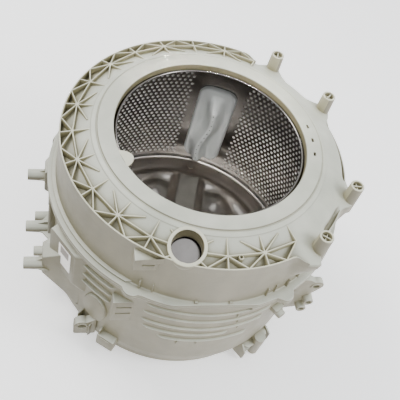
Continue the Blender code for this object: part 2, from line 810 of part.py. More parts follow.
def bearing(name, sizes):
    """The races, the balls in their cage, and the two shields of a deep-groove ball bearing."""
    outer, bore, width, depth = (size / MM for size in sizes)
    section = outer - bore
    land = bore + section * 0.28
    shoulder = outer - section * 0.24
    pitch = (land + shoulder) / 2
    ball = (shoulder - land) / 2 + section * 0.07
    middle = depth + width / 2
    edge = depth + width
    groove = ball + 0.35

    def groove_points(radius, sign):
        reach = abs(radius - pitch)
        half = math.acos(reach / groove)
        points = []
        for step in range(5):
            angle = half * (1 - step / 2)
            points.append((pitch + sign * groove * math.cos(angle), middle - groove * math.sin(angle)))
        return points

    seat = bore + 0.3
    inner_race = [(seat, depth), (land, depth), *groove_points(land, -1), (land, edge), (seat, edge)]
    outer_race = [(outer, depth), (outer, edge), (shoulder, edge)]
    outer_race += [*reversed(groove_points(shoulder, 1)), (shoulder, depth)]
    finish(turned(name + "_inner_race", at_depths(inner_race), parts, MEDIUM), "bearing_steel")
    finish(turned(name + "_outer_race", at_depths(outer_race), parts, MEDIUM), "bearing_steel")
    near, far = pitch - 0.7, pitch + 0.7
    band = [(near, middle - 2.2), (far, middle - 2.2), (far, middle + 2.2), (near, middle + 2.2)]
    cage = turned(name + "_balls", at_depths(band), parts, MEDIUM)
    balls = []
    for i in range(BALL_COUNT):
        centre = polar(pitch * MM, 360 * i / BALL_COUNT)
        mesh = bpy.data.meshes.new(f"{name}_ball_{i}")
        shape = bmesh.new()
        bmesh.ops.create_icosphere(shape, subdivisions=2, radius=ball * MM)
        shape.to_mesh(mesh)
        shape.free()
        sphere = add_object(f"{name}_ball_{i}", mesh, cutters)
        sphere.location = (centre.x, centre.y, height(middle * MM))
        balls.append(sphere)
    combine(cage, "UNION", balls)
    finish(cage, "bearing_steel")
    for side, face in (("front", depth + 0.3), ("rear", edge - 1.1)):
        hole, edge_radius = land + 0.5, shoulder - 0.3
        back = face + 0.8
        shield = [(hole, face), (edge_radius, face), (edge_radius, back), (hole, back)]
        finish(turned(f"{name}_{side}_shield", at_depths(shield), parts, MEDIUM), "bearing_steel")


def shaft_seal():
    """The rubber lip seal in front of the bearings."""
    outline = [
        (26.0, 312.9),
        (26.0, 322.5),
        (24.0, 322.5),
        (23.0, 315.5),
        (18.8, 317.5),
        (16.9, 320.5),
        (16.4, 319.5),
        (18.5, 313.2),
    ]
    return finish(turned("shaft_seal", at_depths(outline), parts, MEDIUM), "seal_rubber")


def seal_ring():
    """The brass ring on the shaft that the seal runs on."""
    outline = [(12.8, 310.0), (15.9, 310.0), (15.9, 322.6), (12.8, 322.6)]
    return finish(turned("seal_running_ring", at_depths(outline), parts, MEDIUM), "seal_ring_brass")


def label():
    """A blank paper label on the flat face of the pad on the -Y side."""
    width, length = LABEL_SIZE
    distance = PAD_DISTANCE + GAP + LABEL_THICKNESS / 2
    size = (LABEL_THICKNESS, width, length)
    item = pad_block("blank_label", -1, distance, LABEL_OFFSET, size, LABEL_DEPTH, parts)
    return finish(item, "label_paper")


clear_scene()
parts = make_collection(ASSEMBLY)
cutters = make_collection("cutters")
cutters.hide_render = True

front_tub_cover()
rear_tub_half()
drum_front()
drum_wrapper()
drum_back()
for number in range(LIFTER_COUNT):
    lifter(number)
spider()
for number in range(LIFTER_COUNT):
    spider_bolt(number)
shaft()
bearing_sleeve()
bearing("front_bearing", FRONT_BEARING)
bearing("rear_bearing", REAR_BEARING)
shaft_seal()
seal_ring()
label()

for piece in parts.objects:
    piece.data.set_sharp_from_angle(angle=math.radians(35))
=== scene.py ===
"""Looks of a washing machine's outer tub and its drum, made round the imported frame.

The tub lies on its back, with the door opening up. Z is the drum's axis, -X is the machine's top and +X
its underside. Shapes are worked out in millimetres, with depths measured down from the plane of the door
lip, and become metres when their mesh is made.
"""

import json
import math

import bmesh
import bpy
import numpy as np
from mathutils import Matrix, Vector

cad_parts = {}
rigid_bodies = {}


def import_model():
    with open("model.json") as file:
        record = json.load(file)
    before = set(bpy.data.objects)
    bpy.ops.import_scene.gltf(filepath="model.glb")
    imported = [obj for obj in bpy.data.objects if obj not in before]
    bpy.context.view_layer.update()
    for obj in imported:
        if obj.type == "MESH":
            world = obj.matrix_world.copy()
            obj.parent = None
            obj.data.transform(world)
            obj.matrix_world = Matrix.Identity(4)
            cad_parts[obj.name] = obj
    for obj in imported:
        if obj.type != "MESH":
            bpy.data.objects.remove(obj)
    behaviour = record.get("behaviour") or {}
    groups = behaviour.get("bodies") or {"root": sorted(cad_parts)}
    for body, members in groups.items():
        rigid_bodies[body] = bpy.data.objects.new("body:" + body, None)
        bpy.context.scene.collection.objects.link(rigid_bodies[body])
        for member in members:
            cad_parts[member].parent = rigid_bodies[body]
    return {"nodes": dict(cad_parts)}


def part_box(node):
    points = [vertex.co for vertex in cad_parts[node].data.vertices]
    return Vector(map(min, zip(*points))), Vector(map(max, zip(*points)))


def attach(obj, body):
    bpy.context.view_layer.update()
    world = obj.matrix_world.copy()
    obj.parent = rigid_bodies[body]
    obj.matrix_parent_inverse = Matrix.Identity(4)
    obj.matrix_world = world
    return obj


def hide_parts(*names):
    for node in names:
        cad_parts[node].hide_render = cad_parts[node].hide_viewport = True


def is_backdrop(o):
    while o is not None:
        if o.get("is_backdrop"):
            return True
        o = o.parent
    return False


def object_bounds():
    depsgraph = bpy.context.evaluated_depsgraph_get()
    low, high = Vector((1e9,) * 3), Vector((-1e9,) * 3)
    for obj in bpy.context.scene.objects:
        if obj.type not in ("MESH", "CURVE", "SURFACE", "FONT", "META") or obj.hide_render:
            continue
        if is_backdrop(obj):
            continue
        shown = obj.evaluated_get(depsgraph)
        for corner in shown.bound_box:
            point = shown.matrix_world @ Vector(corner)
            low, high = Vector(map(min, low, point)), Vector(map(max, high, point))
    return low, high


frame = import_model()
cad_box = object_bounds()

MM = 0.001
SEGMENTS = 288
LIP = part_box("front_tub_cover")[1].z / MM - 5.5
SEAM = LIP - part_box("front_tub_cover")[0].z / MM
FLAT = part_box("front_tub_cover")[1].y / MM
DRUM_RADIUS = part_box("drum_wrapper")[1].x / MM
FLANGE_RADIUS = 250.5

# The fan of star ribs on the front
HUB_RADIUS = 216.0
HUB_STEP = 14.84
HUBS_EACH_SIDE = 8
FAN_HALF = HUB_STEP * HUBS_EACH_SIDE
RIM = 234.8
RIB = 2.4
HOLE = (-60.0, -202.3)
HOLE_RADIUS = 23.1
COLLAR_RADIUS = 28.5

# Fixing points
FRONT_BOSSES = (53.0, 23.8, -23.8, -53.0)
FRONT_BOSS_RADIUS = 240.5
WEB_TURN = 20.0
TOP_BOSSES = ((94.0, 246.0), (0.0, 277.0), (-94.0, 246.0))
PAD_ANGLE = 146.0
PAD_DISTANCE = 252.5
DRAIN_DEPTH = 225.0
SPRING_ANGLE = 43.0
SPRING_EYE = (-184.0, 316.0)
DAMPER_ANGLE = 57.0
DAMPER_EYE = (203.0, 182.0)
MOTOR_ANGLE = 55.0
MOTOR_RADIUS = 246.0
FOOT_ANGLE = 125.5

# The drum
THIRDS = 3
LIFTER_ANGLE = 72.0
ARM_ANGLE = 75.0
WALL_RADIUS = DRUM_RADIUS - 1.0
COLUMNS_PER_THIRD = 46
HOLED_COLUMNS = 36
ROW_PITCH = 9.0
FIRST_ROW_DEPTH = 53.0
ROWS = 29
DIMPLE = ((3.1, 0.0), (2.7, 0.2), (2.2, 0.8), (1.8, 1.5), (1.5, 2.2))
WALL_TOP = 45.0
WALL_BOTTOM = 329.7
DISC_RADIUS = 120.0
BULGE_RADIUS = 138.0
BULGE_TURN = 30.0

CAMERA_PLACE = (-0.2541, -0.6494, 1.1039)
CAMERA_TARGET = (-0.0155, -0.0804, 0.3169)
CAMERA_ROLL = 20.04
CAMERA_LENS = 57.06


# ---------------------------------------------------------------- shapes: pairs of vertices and faces


def flat_point(radius, degrees):
    angle = math.radians(degrees)
    return (radius * math.cos(angle), radius * math.sin(angle))


def at(radius, degrees, depth):
    return (*flat_point(radius, degrees), LIP - depth)


def smooth(share):
    share = min(max(share, 0.0), 1.0)
    return share * share * (3 - 2 * share)


def spread(start, end, steps):
    """Evenly spaced values from start to end."""
    return [start + (end - start) * step / steps for step in range(steps + 1)]


def joined(*shapes):
    verts = []
    faces = []
    for more_verts, more_faces in shapes:
        first = len(verts)
        verts.extend(more_verts)
        faces.extend(tuple(first + i for i in face) for face in more_faces)
    return verts, faces


def eased(outline, radius, steps=3):
    """An outline with its corners rounded. Numbers past a point's first two are rounded with it."""
    points = [np.array(p, float) for p in outline]
    count = len(points)
    result = []
    for i, here in enumerate(points):
        ends = []
        for other in (points[i - 1], points[(i + 1) % count]):
            length = np.linalg.norm((other - here)[:2])
            ends.append(here + (other - here) * min(radius / length, 0.45))
        for step in range(steps + 1):
            t = step / steps
            point = ends[0] * (1 - t) ** 2 + here * 2 * t * (1 - t) + ends[1] * t**2
            result.append(tuple(point))
    return result


def shrunk(outline, distance):
    """A flat outline moved inwards by a distance."""
    points = [np.array(p, float) for p in outline]
    following = points[1:] + points[:1]
    area = sum(a[0] * b[1] - b[0] * a[1] for a, b in zip(points, following))
    turn = 1 if area > 0 else -1
    result = []
    for i, here in enumerate(points):
        normals = []
        for a, b in ((points[i - 1], here), (here, points[(i + 1) % len(points)])):
            along = (b - a) / max(np.linalg.norm(b - a), 1e-9)
            normals.append(np.array((-along[1], along[0])) * turn)
        middle = normals[0] + normals[1]
        middle = middle / max(np.linalg.norm(middle), 1e-9)
        result.append(tuple(here + middle * distance / max(middle.dot(normals[0]), 0.5)))
    return result


def spun(outline, segments, point):
    """A shape spun round an axis. An outline that starts on the axis is open, any other is a loop."""
    verts = []
    rings = []
    for place in outline:
        if place[0] == 0:
            rings.append([len(verts)] * segments)
            verts.append(point(0.0, 0.0, *place[1:]))
        else:
            rings.append(list(range(len(verts), len(verts) + segments)))
            verts.extend(point(place[0], 360.0 * s / segments, *place[1:]) for s in range(segments))
    pairs = list(zip(rings, rings[1:]))
    if outline[0][0] > 0:
        pairs.append((rings[-1], rings[0]))
    faces = []
    for low, high in pairs:
        for s in range(segments):
            t = (s + 1) % segments
            corners = tuple(dict.fromkeys((low[s], low[t], high[t], high[s])))
            if len(corners) > 2:
                faces.append(corners)
    return verts, faces


def loft(sections):
    """A skin over cross-sections that have the same number of points, closed at its two ends."""
    count = len(sections[0])
    verts = [p for section in sections for p in section]
    faces = []
    for first in range(0, len(verts) - count, count):
        for i in range(count):
            j = (i + 1) % count
            faces.append((first + i, first + j, first + count + j, first + count + i))
    faces.append(tuple(range(count)))
    faces.append(tuple(range(len(verts) - count, len(verts))))
    return verts, faces


def prism(outline, low, high, point, edge, corner):
    """A slab over a flat outline, with its corners and edges eased. point(a, b, h) places it."""
    outline = eased(outline, corner)
    inner = shrunk(outline, edge)
    half = shrunk(outline, edge * 0.3)
    levels = ((inner, 0), (half, 0.3), (outline, 1), (outline, -1), (half, -0.3), (inner, 0))
    sections = []
    for i, (loop, share) in enumerate(levels):
        level = low + edge * share if i < 3 else high + edge * share
        sections.append([point(a, b, level) for a, b in loop])
    return loft(sections)


def standing(degrees):
    """Places (along the radius, across it, depth), for a slab that stands along the drum's axis."""
    cos, sin = flat_point(1.0, degrees)
    return lambda a, b, depth: (a * cos - b * sin, a * sin + b * cos, LIP - depth)


def facing(degrees):
    """Places (across the radius, depth, along the radius), for a slab whose face looks outwards."""
    cos, sin = flat_point(1.0, degrees)
    return lambda a, depth, out: (out * cos - a * sin, out * sin + a * cos, LIP - depth)


def sideways(x, depth, y):
    """Places (x, depth, y), for a slab that faces along Y."""
    return (x, y, LIP - depth)


def oblong(a, b):
    """A rectangle between two pairs of limits."""
    return [(a[0], b[0]), (a[1], b[0]), (a[1], b[1]), (a[0], b[1])]


def post(radii, width, depths, degrees, edge, corner):
    """A block between two radii and two depths, along the radius at an angle."""
    outline = oblong(radii, (-width / 2, width / 2))
    return prism(outline, depths[0], depths[1], standing(degrees), edge, corner)


def about_line(start, end):
    """Places (radius, degrees, reach) round the line from one place to another."""
    start = Vector(start)
    along = (Vector(end) - start).normalized()
    across = along.orthogonal().normalized()
    other = along.cross(across)

    def point(radius, degrees, reach):
        a, b = flat_point(1.0, degrees)
        return tuple(start + along * reach + (across * a + other * b) * radius)

    return point


def plaque(width, depths, radii, degrees, edge, corner):
    """A block between two depths and two radii, whose face looks outwards at an angle."""
    outline = oblong((-width / 2, width / 2), depths)
    return prism(outline, *radii, facing(degrees), edge, corner)


def fin(outline, turn, place, corner):
    """A thin web that stands out from a line along X, turned about it. place(x, dy, dz) puts it there."""
    cos, sin = flat_point(1.0, turn)

    def point(x, out, across):
        return place(x, cos * out - sin * across, sin * out + cos * across)

    return prism(outline, -1.2, 1.2, point, 0.4, corner)


def side_slab(outline, side, near, far, edge, corner):
    """A slab that faces along Y, between two distances from the middle, on one side of the tub."""
    low, high = sorted((side * near, side * far))
    return prism(outline, low, high, sideways, edge, corner)


def tube(start, end, outer, bore, floor, segments, draft):
    """A round boss from its foot to its tip, with a blind bore as deep as floor from the tip."""
    length = (Vector(end) - Vector(start)).length
    outline = [(0, 0), (outer + draft, 0)]
    outline += [(outer, length - 1.2), (outer - 0.5, length - 0.3), (outer - 1.1, length)]
    outline += [(bore + 1.0, length), (bore + 0.3, length - 0.3), (bore, length - 1.2)]
    outline += [(bore * 0.96, length - floor), (0, length - floor)]
    return spun(outline, segments, about_line(start, end))


def bar(start, end, edge, root, width=RIB, stations=5):
    """A thin rib between two points of the XY plane. The depths of its edge and root follow the radius."""
    start, end = np.array(start, float), np.array(end, float)
    along = (end - start) / np.linalg.norm(end - start)
    side = np.array((-along[1], along[0]))
    sections = []
    for middle in spread(start, end, stations):
        radius = np.linalg.norm(middle)
        crest, foot = edge(radius), root(radius)
        down = 1 if foot > crest else -1
        half = width / 2
        profile = [(-half - 0.25, foot), (-half, crest + 0.9 * down), (-half * 0.5, crest + 0.1 * down)]
        profile += [(-offset, depth) for offset, depth in reversed(profile)]
        sections.append([(*(middle + side * offset), LIP - depth) for offset, depth in profile])
    return loft(sections)


def hoop(inner, outer, depth, start, end, width, fade):
    """A rib round part of the wall, whose ends sink into it."""
    sections = []
    for degrees in spread(start, end, max(4, round((end - start) / 1.25))):
        rise = smooth(min(degrees - start, end - degrees) / fade)
        tip = inner + 0.6 + (outer - inner - 0.6) * rise
        half = width / 2
        section = [(inner, -half - 0.5), (tip - 0.9, -half), (tip, -half * 0.4)]
        section += [(tip, half * 0.4), (tip - 0.9, half), (inner, half + 0.5)]
        sections.append([at(radius, degrees, depth + offset) for radius, offset in section])
    return loft(sections)


def mesh_object(name, shape, crease=40.0):
    verts, faces = shape
    mesh = bpy.data.meshes.new(name)
    mesh.from_pydata([tuple(c * MM for c in v) for v in verts], [], faces)
    work = bmesh.new()
    work.from_mesh(mesh)
    bmesh.ops.recalc_face_normals(work, faces=work.faces)
    work.to_mesh(mesh)
    work.free()
    mesh.shade_smooth()
    mesh.set_sharp_from_angle(angle=math.radians(crease))
    item = bpy.data.objects.new(name, mesh)
    bpy.context.scene.collection.objects.link(item)
    return item


def cut(shape, *cutters):
    """A shape with other shapes taken out of it."""
    item = mesh_object("cut_body", shape)
    tools = bpy.data.collections.new("cut_tools")
    for cutter in cutters:
        tool = mesh_object("cut_tool", cutter)
        bpy.context.scene.collection.objects.unlink(tool)
        tools.objects.link(tool)
    bpy.context.scene.collection.children.link(tools)
    modifier = item.modifiers.new("Cut", "BOOLEAN")
    modifier.operation = "DIFFERENCE"
    modifier.solver = "EXACT"
    modifier.operand_type = "COLLECTION"
    modifier.collection = tools
    bpy.context.view_layer.update()
    graph = bpy.context.evaluated_depsgraph_get()
    result = item.evaluated_get(graph).to_mesh()
    verts = [tuple(c / MM for c in v.co) for v in result.vertices]
    faces = [tuple(p.vertices) for p in result.polygons]
    for tool in list(tools.objects):
        bpy.data.objects.remove(tool)
    bpy.data.objects.remove(item)
    bpy.data.collections.remove(tools)
    return verts, faces


def rod(start, end, radius, segments):
    """A plain round cutter."""
    point = about_line(start, end)
    reaches = (0, (Vector(end) - Vector(start)).length)
    return loft([[point(radius, 360 * s / segments, reach) for s in range(segments)] for reach in reaches])


# ---------------------------------------------------------------- front half of the tub


LOBES = ((53.0, 15.0, 5.0), (23.8, 16.0, 5.0), (-23.8, 16.0, 5.0), (-53.0, 14.0, 5.0), (-58.8, 21.0, 3.8))
FLANGE_STUBS = ((239.5, 7.5, 2.6), (297.5, 12.5, 2.8), (120.5, 7.5, 2.6), (62.5, 12.5, 2.8))


def bumps(degrees, places, sharpness):
    """How far an edge stands out at an angle, from bumps with an angle, a height and a half width each."""
    total = 0.0
    for centre, height, width in places:
        away = (degrees - centre + 180) % 360 - 180
        total += height * math.exp(-((abs(away) / width) ** sharpness))
    return total


def lobe(degrees):
    """How far the cover's edge swells out at an angle, to carry the four front bosses."""
    return bumps(degrees, LOBES, 3.2)


def flange_edge(degrees):
    """The seam flange's outline: a circle with two flat sides and a stub at each end of a flat."""
    sine = max(abs(math.sin(math.radians(degrees))), 0.01)
    flat = (FLAT - 0.2) / sine
    radius = min(FLANGE_RADIUS, flat) + bumps(degrees, FLANGE_STUBS, 4)
    return min(radius, flat + (2.0 if sine < 0.5 else 0.0))


def between_bosses(degrees):
    """1 where the cover's edge is stepped down between two bosses, 0 elsewhere."""
    around = (degrees + 180) % 360 - 180
    share = 0.0
    for start, end in ((30.5, 46.0), (-16.5, 17.0), (-46.0, -30.5)):
        share = max(share, smooth((around - start) / 3.0) * smooth((end - around) / 3.0))
    return share


def padded(outline, length):
    """An outline whose points are all filled up to the same length with zeros."""
    return [(*point, *[0] * (length - len(point))) for point in outline]


def skirted(radius, degrees, depth, swell, flange, pull=0.0, drop=0.0):
    """Places a point of a tub half's outline, which may follow the lobes, the flange's edge or the steps."""
    step = between_bosses(degrees)
    reach = radius + swell * lobe(degrees) + pull * step
    depth += drop * step
    if flange > 0:
        reach += flange * (flange_edge(degrees) - FLANGE_RADIUS)
    return at(reach, degrees, depth)


def cone_top(radius):
    return 4.4 + (radius - 187.0) * 0.2568


def plate(radius):
    """Depth of the cover's plate between the lip's groove and its outer edge."""
    return 5.5 + (radius - 190.0) * 0.547


def plate_root(radius):
    return max(plate(radius), cone_top(radius)) + 2.0


def outside_collar(start, end):
    """The part of a rib that lies outside the dispenser hole's collar, or None."""
    start, end, centre = (np.array(p, float) for p in (start, end, HOLE))
    kept = [p for p in spread(start, end, 40) if np.linalg.norm(p - centre) > COLLAR_RADIUS - 1.0]
    return (kept[0], kept[-1]) if len(kept) > 2 else None


def star_ribs():
    """The fan of ribs: big and small hubs in turn, joined to each other, to the rim and to the plate."""
    lines = []
    shapes = []
    for k in range(-HUBS_EACH_SIDE, HUBS_EACH_SIDE + 1):
        here = 180 + k * HUB_STEP
        big = k % 2 != 0
        hub = flat_point(HUB_RADIUS, here)
        last = abs(k) == HUBS_EACH_SIDE
        if not last:
            lines.append((hub, flat_point(RIM, here)))
        lines.append((hub, flat_point(190.0, here)))
        for side in (-1, 1):
            if abs(k + side) > HUBS_EACH_SIDE:
                continue
            lines.append((hub, flat_point(RIM, here + side * HUB_STEP / 2)))
            if big:
                lines.append((hub, flat_point(195.0, here + side * HUB_STEP * 0.61)))
            if side > 0:
                lines.append((hub, flat_point(HUB_RADIUS, here + HUB_STEP)))
        away = np.linalg.norm(np.array(hub) - np.array(HOLE))
        if away > COLLAR_RADIUS and not last:
            radius = 3.5 if big else 2.7
            top = LIP - cone_top(HUB_RADIUS)
            shapes.append(tube((*hub, top - 10), (*hub, top + 0.25), radius, radius * 0.3, 0.5, 20, 0.2))
    for start, end in lines:
        kept = outside_collar(start, end)
        if kept:
            shapes.append(bar(*kept, cone_top, plate_root))
    return joined(*shapes)


def rim_wall():
    """The wall round the fan's outer edge, which swells into the bosses' lobes at its two ends."""
    start, end = 180 - FAN_HALF - 0.4, 180 + FAN_HALF + 0.4
    sections = []
    for degrees in spread(start, end, 200):
        near_end = smooth(1 - min(degrees - start, end - degrees) / 7.0)
        top = cone_top(RIM) + 9.0 * near_end**2
        out = RIM + lobe(degrees) * 0.9
        section = [(out - 1.6, 36), (out - 1.3, top + 0.7), (out - 0.7, top), (out + 0.5, top)]
        section += [(out + 1.1, top + 0.7), (out + 1.2, 36)]
        sections.append([at(radius, degrees, depth) for radius, depth in section])
    return loft(sections)


def dispenser_collar():
    """The thick rim round the inlet hole, which follows the slope of the cover."""

    def point(radius, degrees, drop):
        dx, dy = flat_point(radius, degrees)
        x, y = HOLE[0] + dx, HOLE[1] + dy
        return (x, y, LIP - drop - 2.6 - (math.hypot(x, y) - 182.8) * 0.278)

    outline = [(HOLE_RADIUS, -0.7), (COLLAR_RADIUS, -0.7), (COLLAR_RADIUS + 0.2, 3.5)]
    outline += [(COLLAR_RADIUS - 4.2, 18.0), (HOLE_RADIUS, 18.0)]
    return spun(eased(outline, 1.6, 4), 96, point)


def cover_body():
    """The cover's shell, hollow behind, with its lip, groove, plate, skirt and flange."""
    outside = [
        (155.0, 1.4), (156.4, 0.0), (179.7, 0.3), (180.4, 3.0), (182.1, 3.0), (182.9, 2.2),
        (189.3, 4.1), (190.4, 5.7), (200.0, 11.0), (210.0, 16.4), (220.0, 21.9, 0.2),
        (225.6, 25.0, 0.5, 0, -1.6, -0.2), (227.8, 26.3, 0.6, 0, -2.4, 12.4),
        (230.4, 28.0, 0.75, 0, 0.2, 10.8), (231.8, 29.1, 0.85, 0, -0.5, 5.6),
        (233.2, 30.4, 0.95, 0, 0, 4.4), (234.4, 34.0, 1.0, 0, 0, 2.4), (234.8, 40.0, 0.97),
        (235.1, 50.0, 0.85), (235.5, 60.0, 0.65), (235.9, 70.0, 0.42), (236.3, 80.0, 0.22),
        (236.7, 90.0, 0.08), (237.2, 102.0), (237.7, 111.5), (239.0, 113.4), (249.4, 113.8, 0, 1),
        (FLANGE_RADIUS, 114.8, 0, 1), (FLANGE_RADIUS, SEAM - 0.9, 0, 1), (249.6, SEAM, 0, 1),
    ]
    inside = [
        (235.2, SEAM), (232.2, 43.0), (231.6, 37.5, 0, 0, -0.4, 3.6),
        (229.9, 33.6, 0, 0, -1.2, 7.0), (227.0, 30.6, 0, 0, -2.6, 8.4), (221.5, 27.4), (190.0, 8.4),
        (183.0, 6.2), (158.8, 4.0), (158.2, 12.2), (157.6, 13.0), (155.7, 13.0), (155.0, 12.3),
    ]
    shell = spun(eased(padded(outside + inside, 6), 0.7, 2), SEGMENTS, skirted)
    hole = rod((*HOLE, LIP - 60), (*HOLE, LIP + 20), HOLE_RADIUS, 96)
    slots = [post((166.0, 169.9), 7.4, (-4, 9.0), angle, 0.2, 0.7) for angle in (9.1, -1.0, -11.1)]
    return cut(shell, hole, *slots)


def front_boss(degrees):
    """A tall tube for the front counterweight, with crossed webs in its bore."""
    foot, tip = at(FRONT_BOSS_RADIUS, degrees, 52), at(FRONT_BOSS_RADIUS, degrees, -5.5)
    shapes = [tube(foot, tip, 11.2, 7.8, 30, 56, 1.4)]
    a, b = flat_point(FRONT_BOSS_RADIUS, -WEB_TURN)
    for half_a, half_b, top in ((8.2, 1.0, -3.6), (1.0, 8.2, -1.2)):
        outline = oblong((a - half_a, a + half_a), (b - half_b, b + half_b))
        shapes.append(prism(outline, top, 30, standing(degrees + WEB_TURN), 0.4, 0.4))
    return joined(*shapes)


def lip_tab():
    """The rounded tongue that reaches into the door opening."""
    outline = [flat_point(158.0, 208.6), flat_point(158.0, 195.8), flat_point(155.1, 196.3)]
    for step in range(1, 20):
        share = step / 20
        reach = 15.8 * math.sin(math.pi * share) ** 0.55
        outline.append(flat_point(155.0 - reach, 196.6 + 11.6 * share))
    outline.append(flat_point(155.1, 208.2))
    return prism(outline, 0.1, 3.4, standing(0), 0.8, 0.6)


def hose_bracket():
    """A box on the skirt, square to the machine, with a slot in its face and a sloping top."""
    box = prism(oblong((-132, -97), (27, 54)), -216, -190, sideways, 1.0, 1.6)
    slot = prism(oblong((-120.5, -102.5), (38.4, 42.8)), -224, -209, sideways, 0.3, 0.8)
    wedge = []
    for sink in (0, 9):
        corners = ((-131.4, -215.4, 27.4), (-92.0, -218.0, 19.0), (-98.0, -215.4, 27.4))
        wedge.append([(x, y, LIP - depth - sink) for x, y, depth in corners])
    return joined(cut(box, slot, cavity(15, 60, 233.0)), loft(wedge))


def front_details():
    """Everything that stands on the cover's shell."""
    shapes = [star_ribs(), rim_wall(), dispenser_collar(), lip_tab(), hose_bracket()]
    shapes += [front_boss(angle) for angle in FRONT_BOSSES]
    for angle, outer in ((241.5, 242.5), (246.3, 240), (289.8, 241), (293.6, 240), (299.5, 241.5)):
        shapes.append(post((233, outer), 2.0, (93, 115), angle, 0.6, 0.8))
    for start, end in ((163, 239), (121, 160)):
        shapes.append(hoop(235, 243.0, 110.6, start, end, 2.2, 2.5))
    foot, tip = at(218, 274.2, 24), at(218, 274.2, cone_top(218) - 0.2)
    shapes.append(tube(foot, tip, 3.9, 2.3, 8, 28, 0.3))
    for angle in (262.6, 275.5):
        shapes.append(plaque(4.8, (109.5, 114.5), (233, 241.2), angle, 0.6, 0.8))
    for degrees in FRONT_BOSSES:
        for lean in (-2.7, 2.7):
            shapes.append(post((232, 241.4), 2.0, (58, 104), degrees + lean, 0.5, 0.7))
    return shapes


# ---------------------------------------------------------------- rear half of the tub


def rear_body():
    """The rear shell: flange, wall, rounded edge, rear rim, rear wall and the tube round the bearings."""
    seam = SEAM + 0.6
    outside = [
        (249.6, seam, 0, 1), (FLANGE_RADIUS, seam + 0.9, 0, 1), (FLANGE_RADIUS, 125.3, 0, 1),
        (249.6, 126.2, 0, 1),
        (239.8, 126.6), (238.6, 129.0), (237.6, 225.0), (236.5, 325.0), (234.5, 340.0),
        (228.0, 352.0), (222.5, 364.0), (220.6, 385.2), (219.8, 386.0), (217.4, 386.0),
        (216.6, 385.2), (216.6, 356.5), (205.0, 354.5), (70.0, 330.0), (44.0, 328.4), (41.6, 330.5),
        (38.4, 369.2), (37.6, 370.0), (31.0, 370.0), (30.3, 369.3),
    ]
    inside = [
        (30.3, 317.4), (36.0, 316.8), (60.0, 322.0), (205.0, 350.0), (224.0, 349.5), (230.5, 339.0),
        (233.2, 324.0), (235.2, seam),
    ]
    shell = spun(eased(padded(outside + inside, 4), 2.2, 3), SEGMENTS, skirted)
    drain = rod((215, 0, LIP - DRAIN_DEPTH), (262, 0, LIP - DRAIN_DEPTH), 29.5, 64)
    return cut(shell, drain)


def cavity(low, high, radius=235.8):
    """The space inside the tub between two depths, which keeps the drum's way clear."""
    return rod((0, 0, LIP - low), (0, 0, LIP - high), radius, 180)


def back_wall(radius):
    return 329.0 + (radius - 60.0) * 0.176


def back_ribs():
    """Radial ribs and one ring on the rear wall."""
    shapes = []
    for i in range(12):
        angle = 15 + 30 * i
        ends = (flat_point(40.5, angle), flat_point(217.5, angle))
        shapes.append(bar(*ends, lambda r: 383.0 if r > 60 else 372.0, back_wall, 3.0, 10))
    ring = [(128.1, 336.0), (128.1, 383.0), (131.1, 383.0), (131.1, 336.0)]
    shapes.append(spun(eased(ring, 0.6), SEGMENTS, at))
    return shapes


def saddle(side):
    """A block with a sloping top and underside that carries one of the outer tubes."""
    outline = [(-254.5, 72), (-254.5, 103), (-222, 120.5), (-191, 140)]
    outline += [(-math.sqrt(235.9**2 - y**2), y) for y in (132, 118, 103, 88, 72)]

    def sloped(x, y, depth):
        slope = 0.79 if depth > 237 else -1.15
        return (x, side * y, LIP - depth - slope * (x + 255))

    return prism(outline, 214, 263, sloped, 1.6, 2.0)


def top_bosses():
    """Three tubes that point to the machine's top, with their saddles, fins and gusset."""
    shapes = []
    for y, depth in TOP_BOSSES:
        z = LIP - depth
        foot = 236 if y == 0 else 224
        shapes.append(tube((-foot, y, z), (-285, y, z), 10.4, 6.6, 26, 48, 1.2))
        outline = [(foot, 0), (foot, 17), (252, 15.5), (264, 11), (264, 0)]
        for turn in (0, 90, 180, 270):
            shapes.append(fin(outline, turn, lambda a, dy, dz, y=y, z=z: (-a, y + dy, z + dz), 1.0))
    shapes += [saddle(-1), saddle(1)]
    gusset = [(-262, -6), (-262, 6), (-234.6, 40), (-234.6, -40)]
    shapes.append(prism(gusset, 275.3, 278.7, standing(0), 0.6, 2.0))
    for y in (-38, 38):
        shapes.append(tube((-233, y, LIP - 300), (-270, y, LIP - 300), 9.0, 5.0, 12, 36, 1.0))
    return shapes


def wall_pad(side):
    """The flat pad beside a saddle, which slopes down to the wall round its edges."""
    place = facing(side * PAD_ANGLE)
    sections = []
    for grow, out in ((24, 226), (15, 238), (7, 246.5), (2.2, 251.3), (0, PAD_DISTANCE)):
        limits = sorted((side * 60, -side * (6 + grow)))
        outline = oblong(limits, (137 - 0.3 * grow, 224 + 1.6 * grow))
        sections.append([place(a, depth, out) for a, depth in eased(outline, 10.0, 5)])
    return [cut(loft(sections), cavity(110, 290))]


def eye_plate(outline, centre, radius, y, thickness, reach):
    """A rounded plate square to Y, with an eye through it and a raised ring round the eye."""
    x, depth = centre
    plate_shape = prism(outline, y - thickness / 2, y + thickness / 2, sideways, 1.0, 5.0)
    near, far = (x, y - thickness, LIP - depth), (x, y + thickness, LIP - depth)

    def point(out, degrees, along):
        dx, dz = flat_point(out, degrees)
        return (x + dx, along, LIP - depth + dz)

    ring = oblong((radius, radius + 3.6), (y - reach, y + reach))
    return joined(cut(plate_shape, rod(near, far, radius, 40)), spun(eased(ring, 0.8), 48, point))


def arc(centre, radius, start, end, steps=10):
    points = [flat_point(radius, degrees) for degrees in spread(start, end, steps)]
    return [(centre[0] + a, centre[1] + b) for a, b in points]


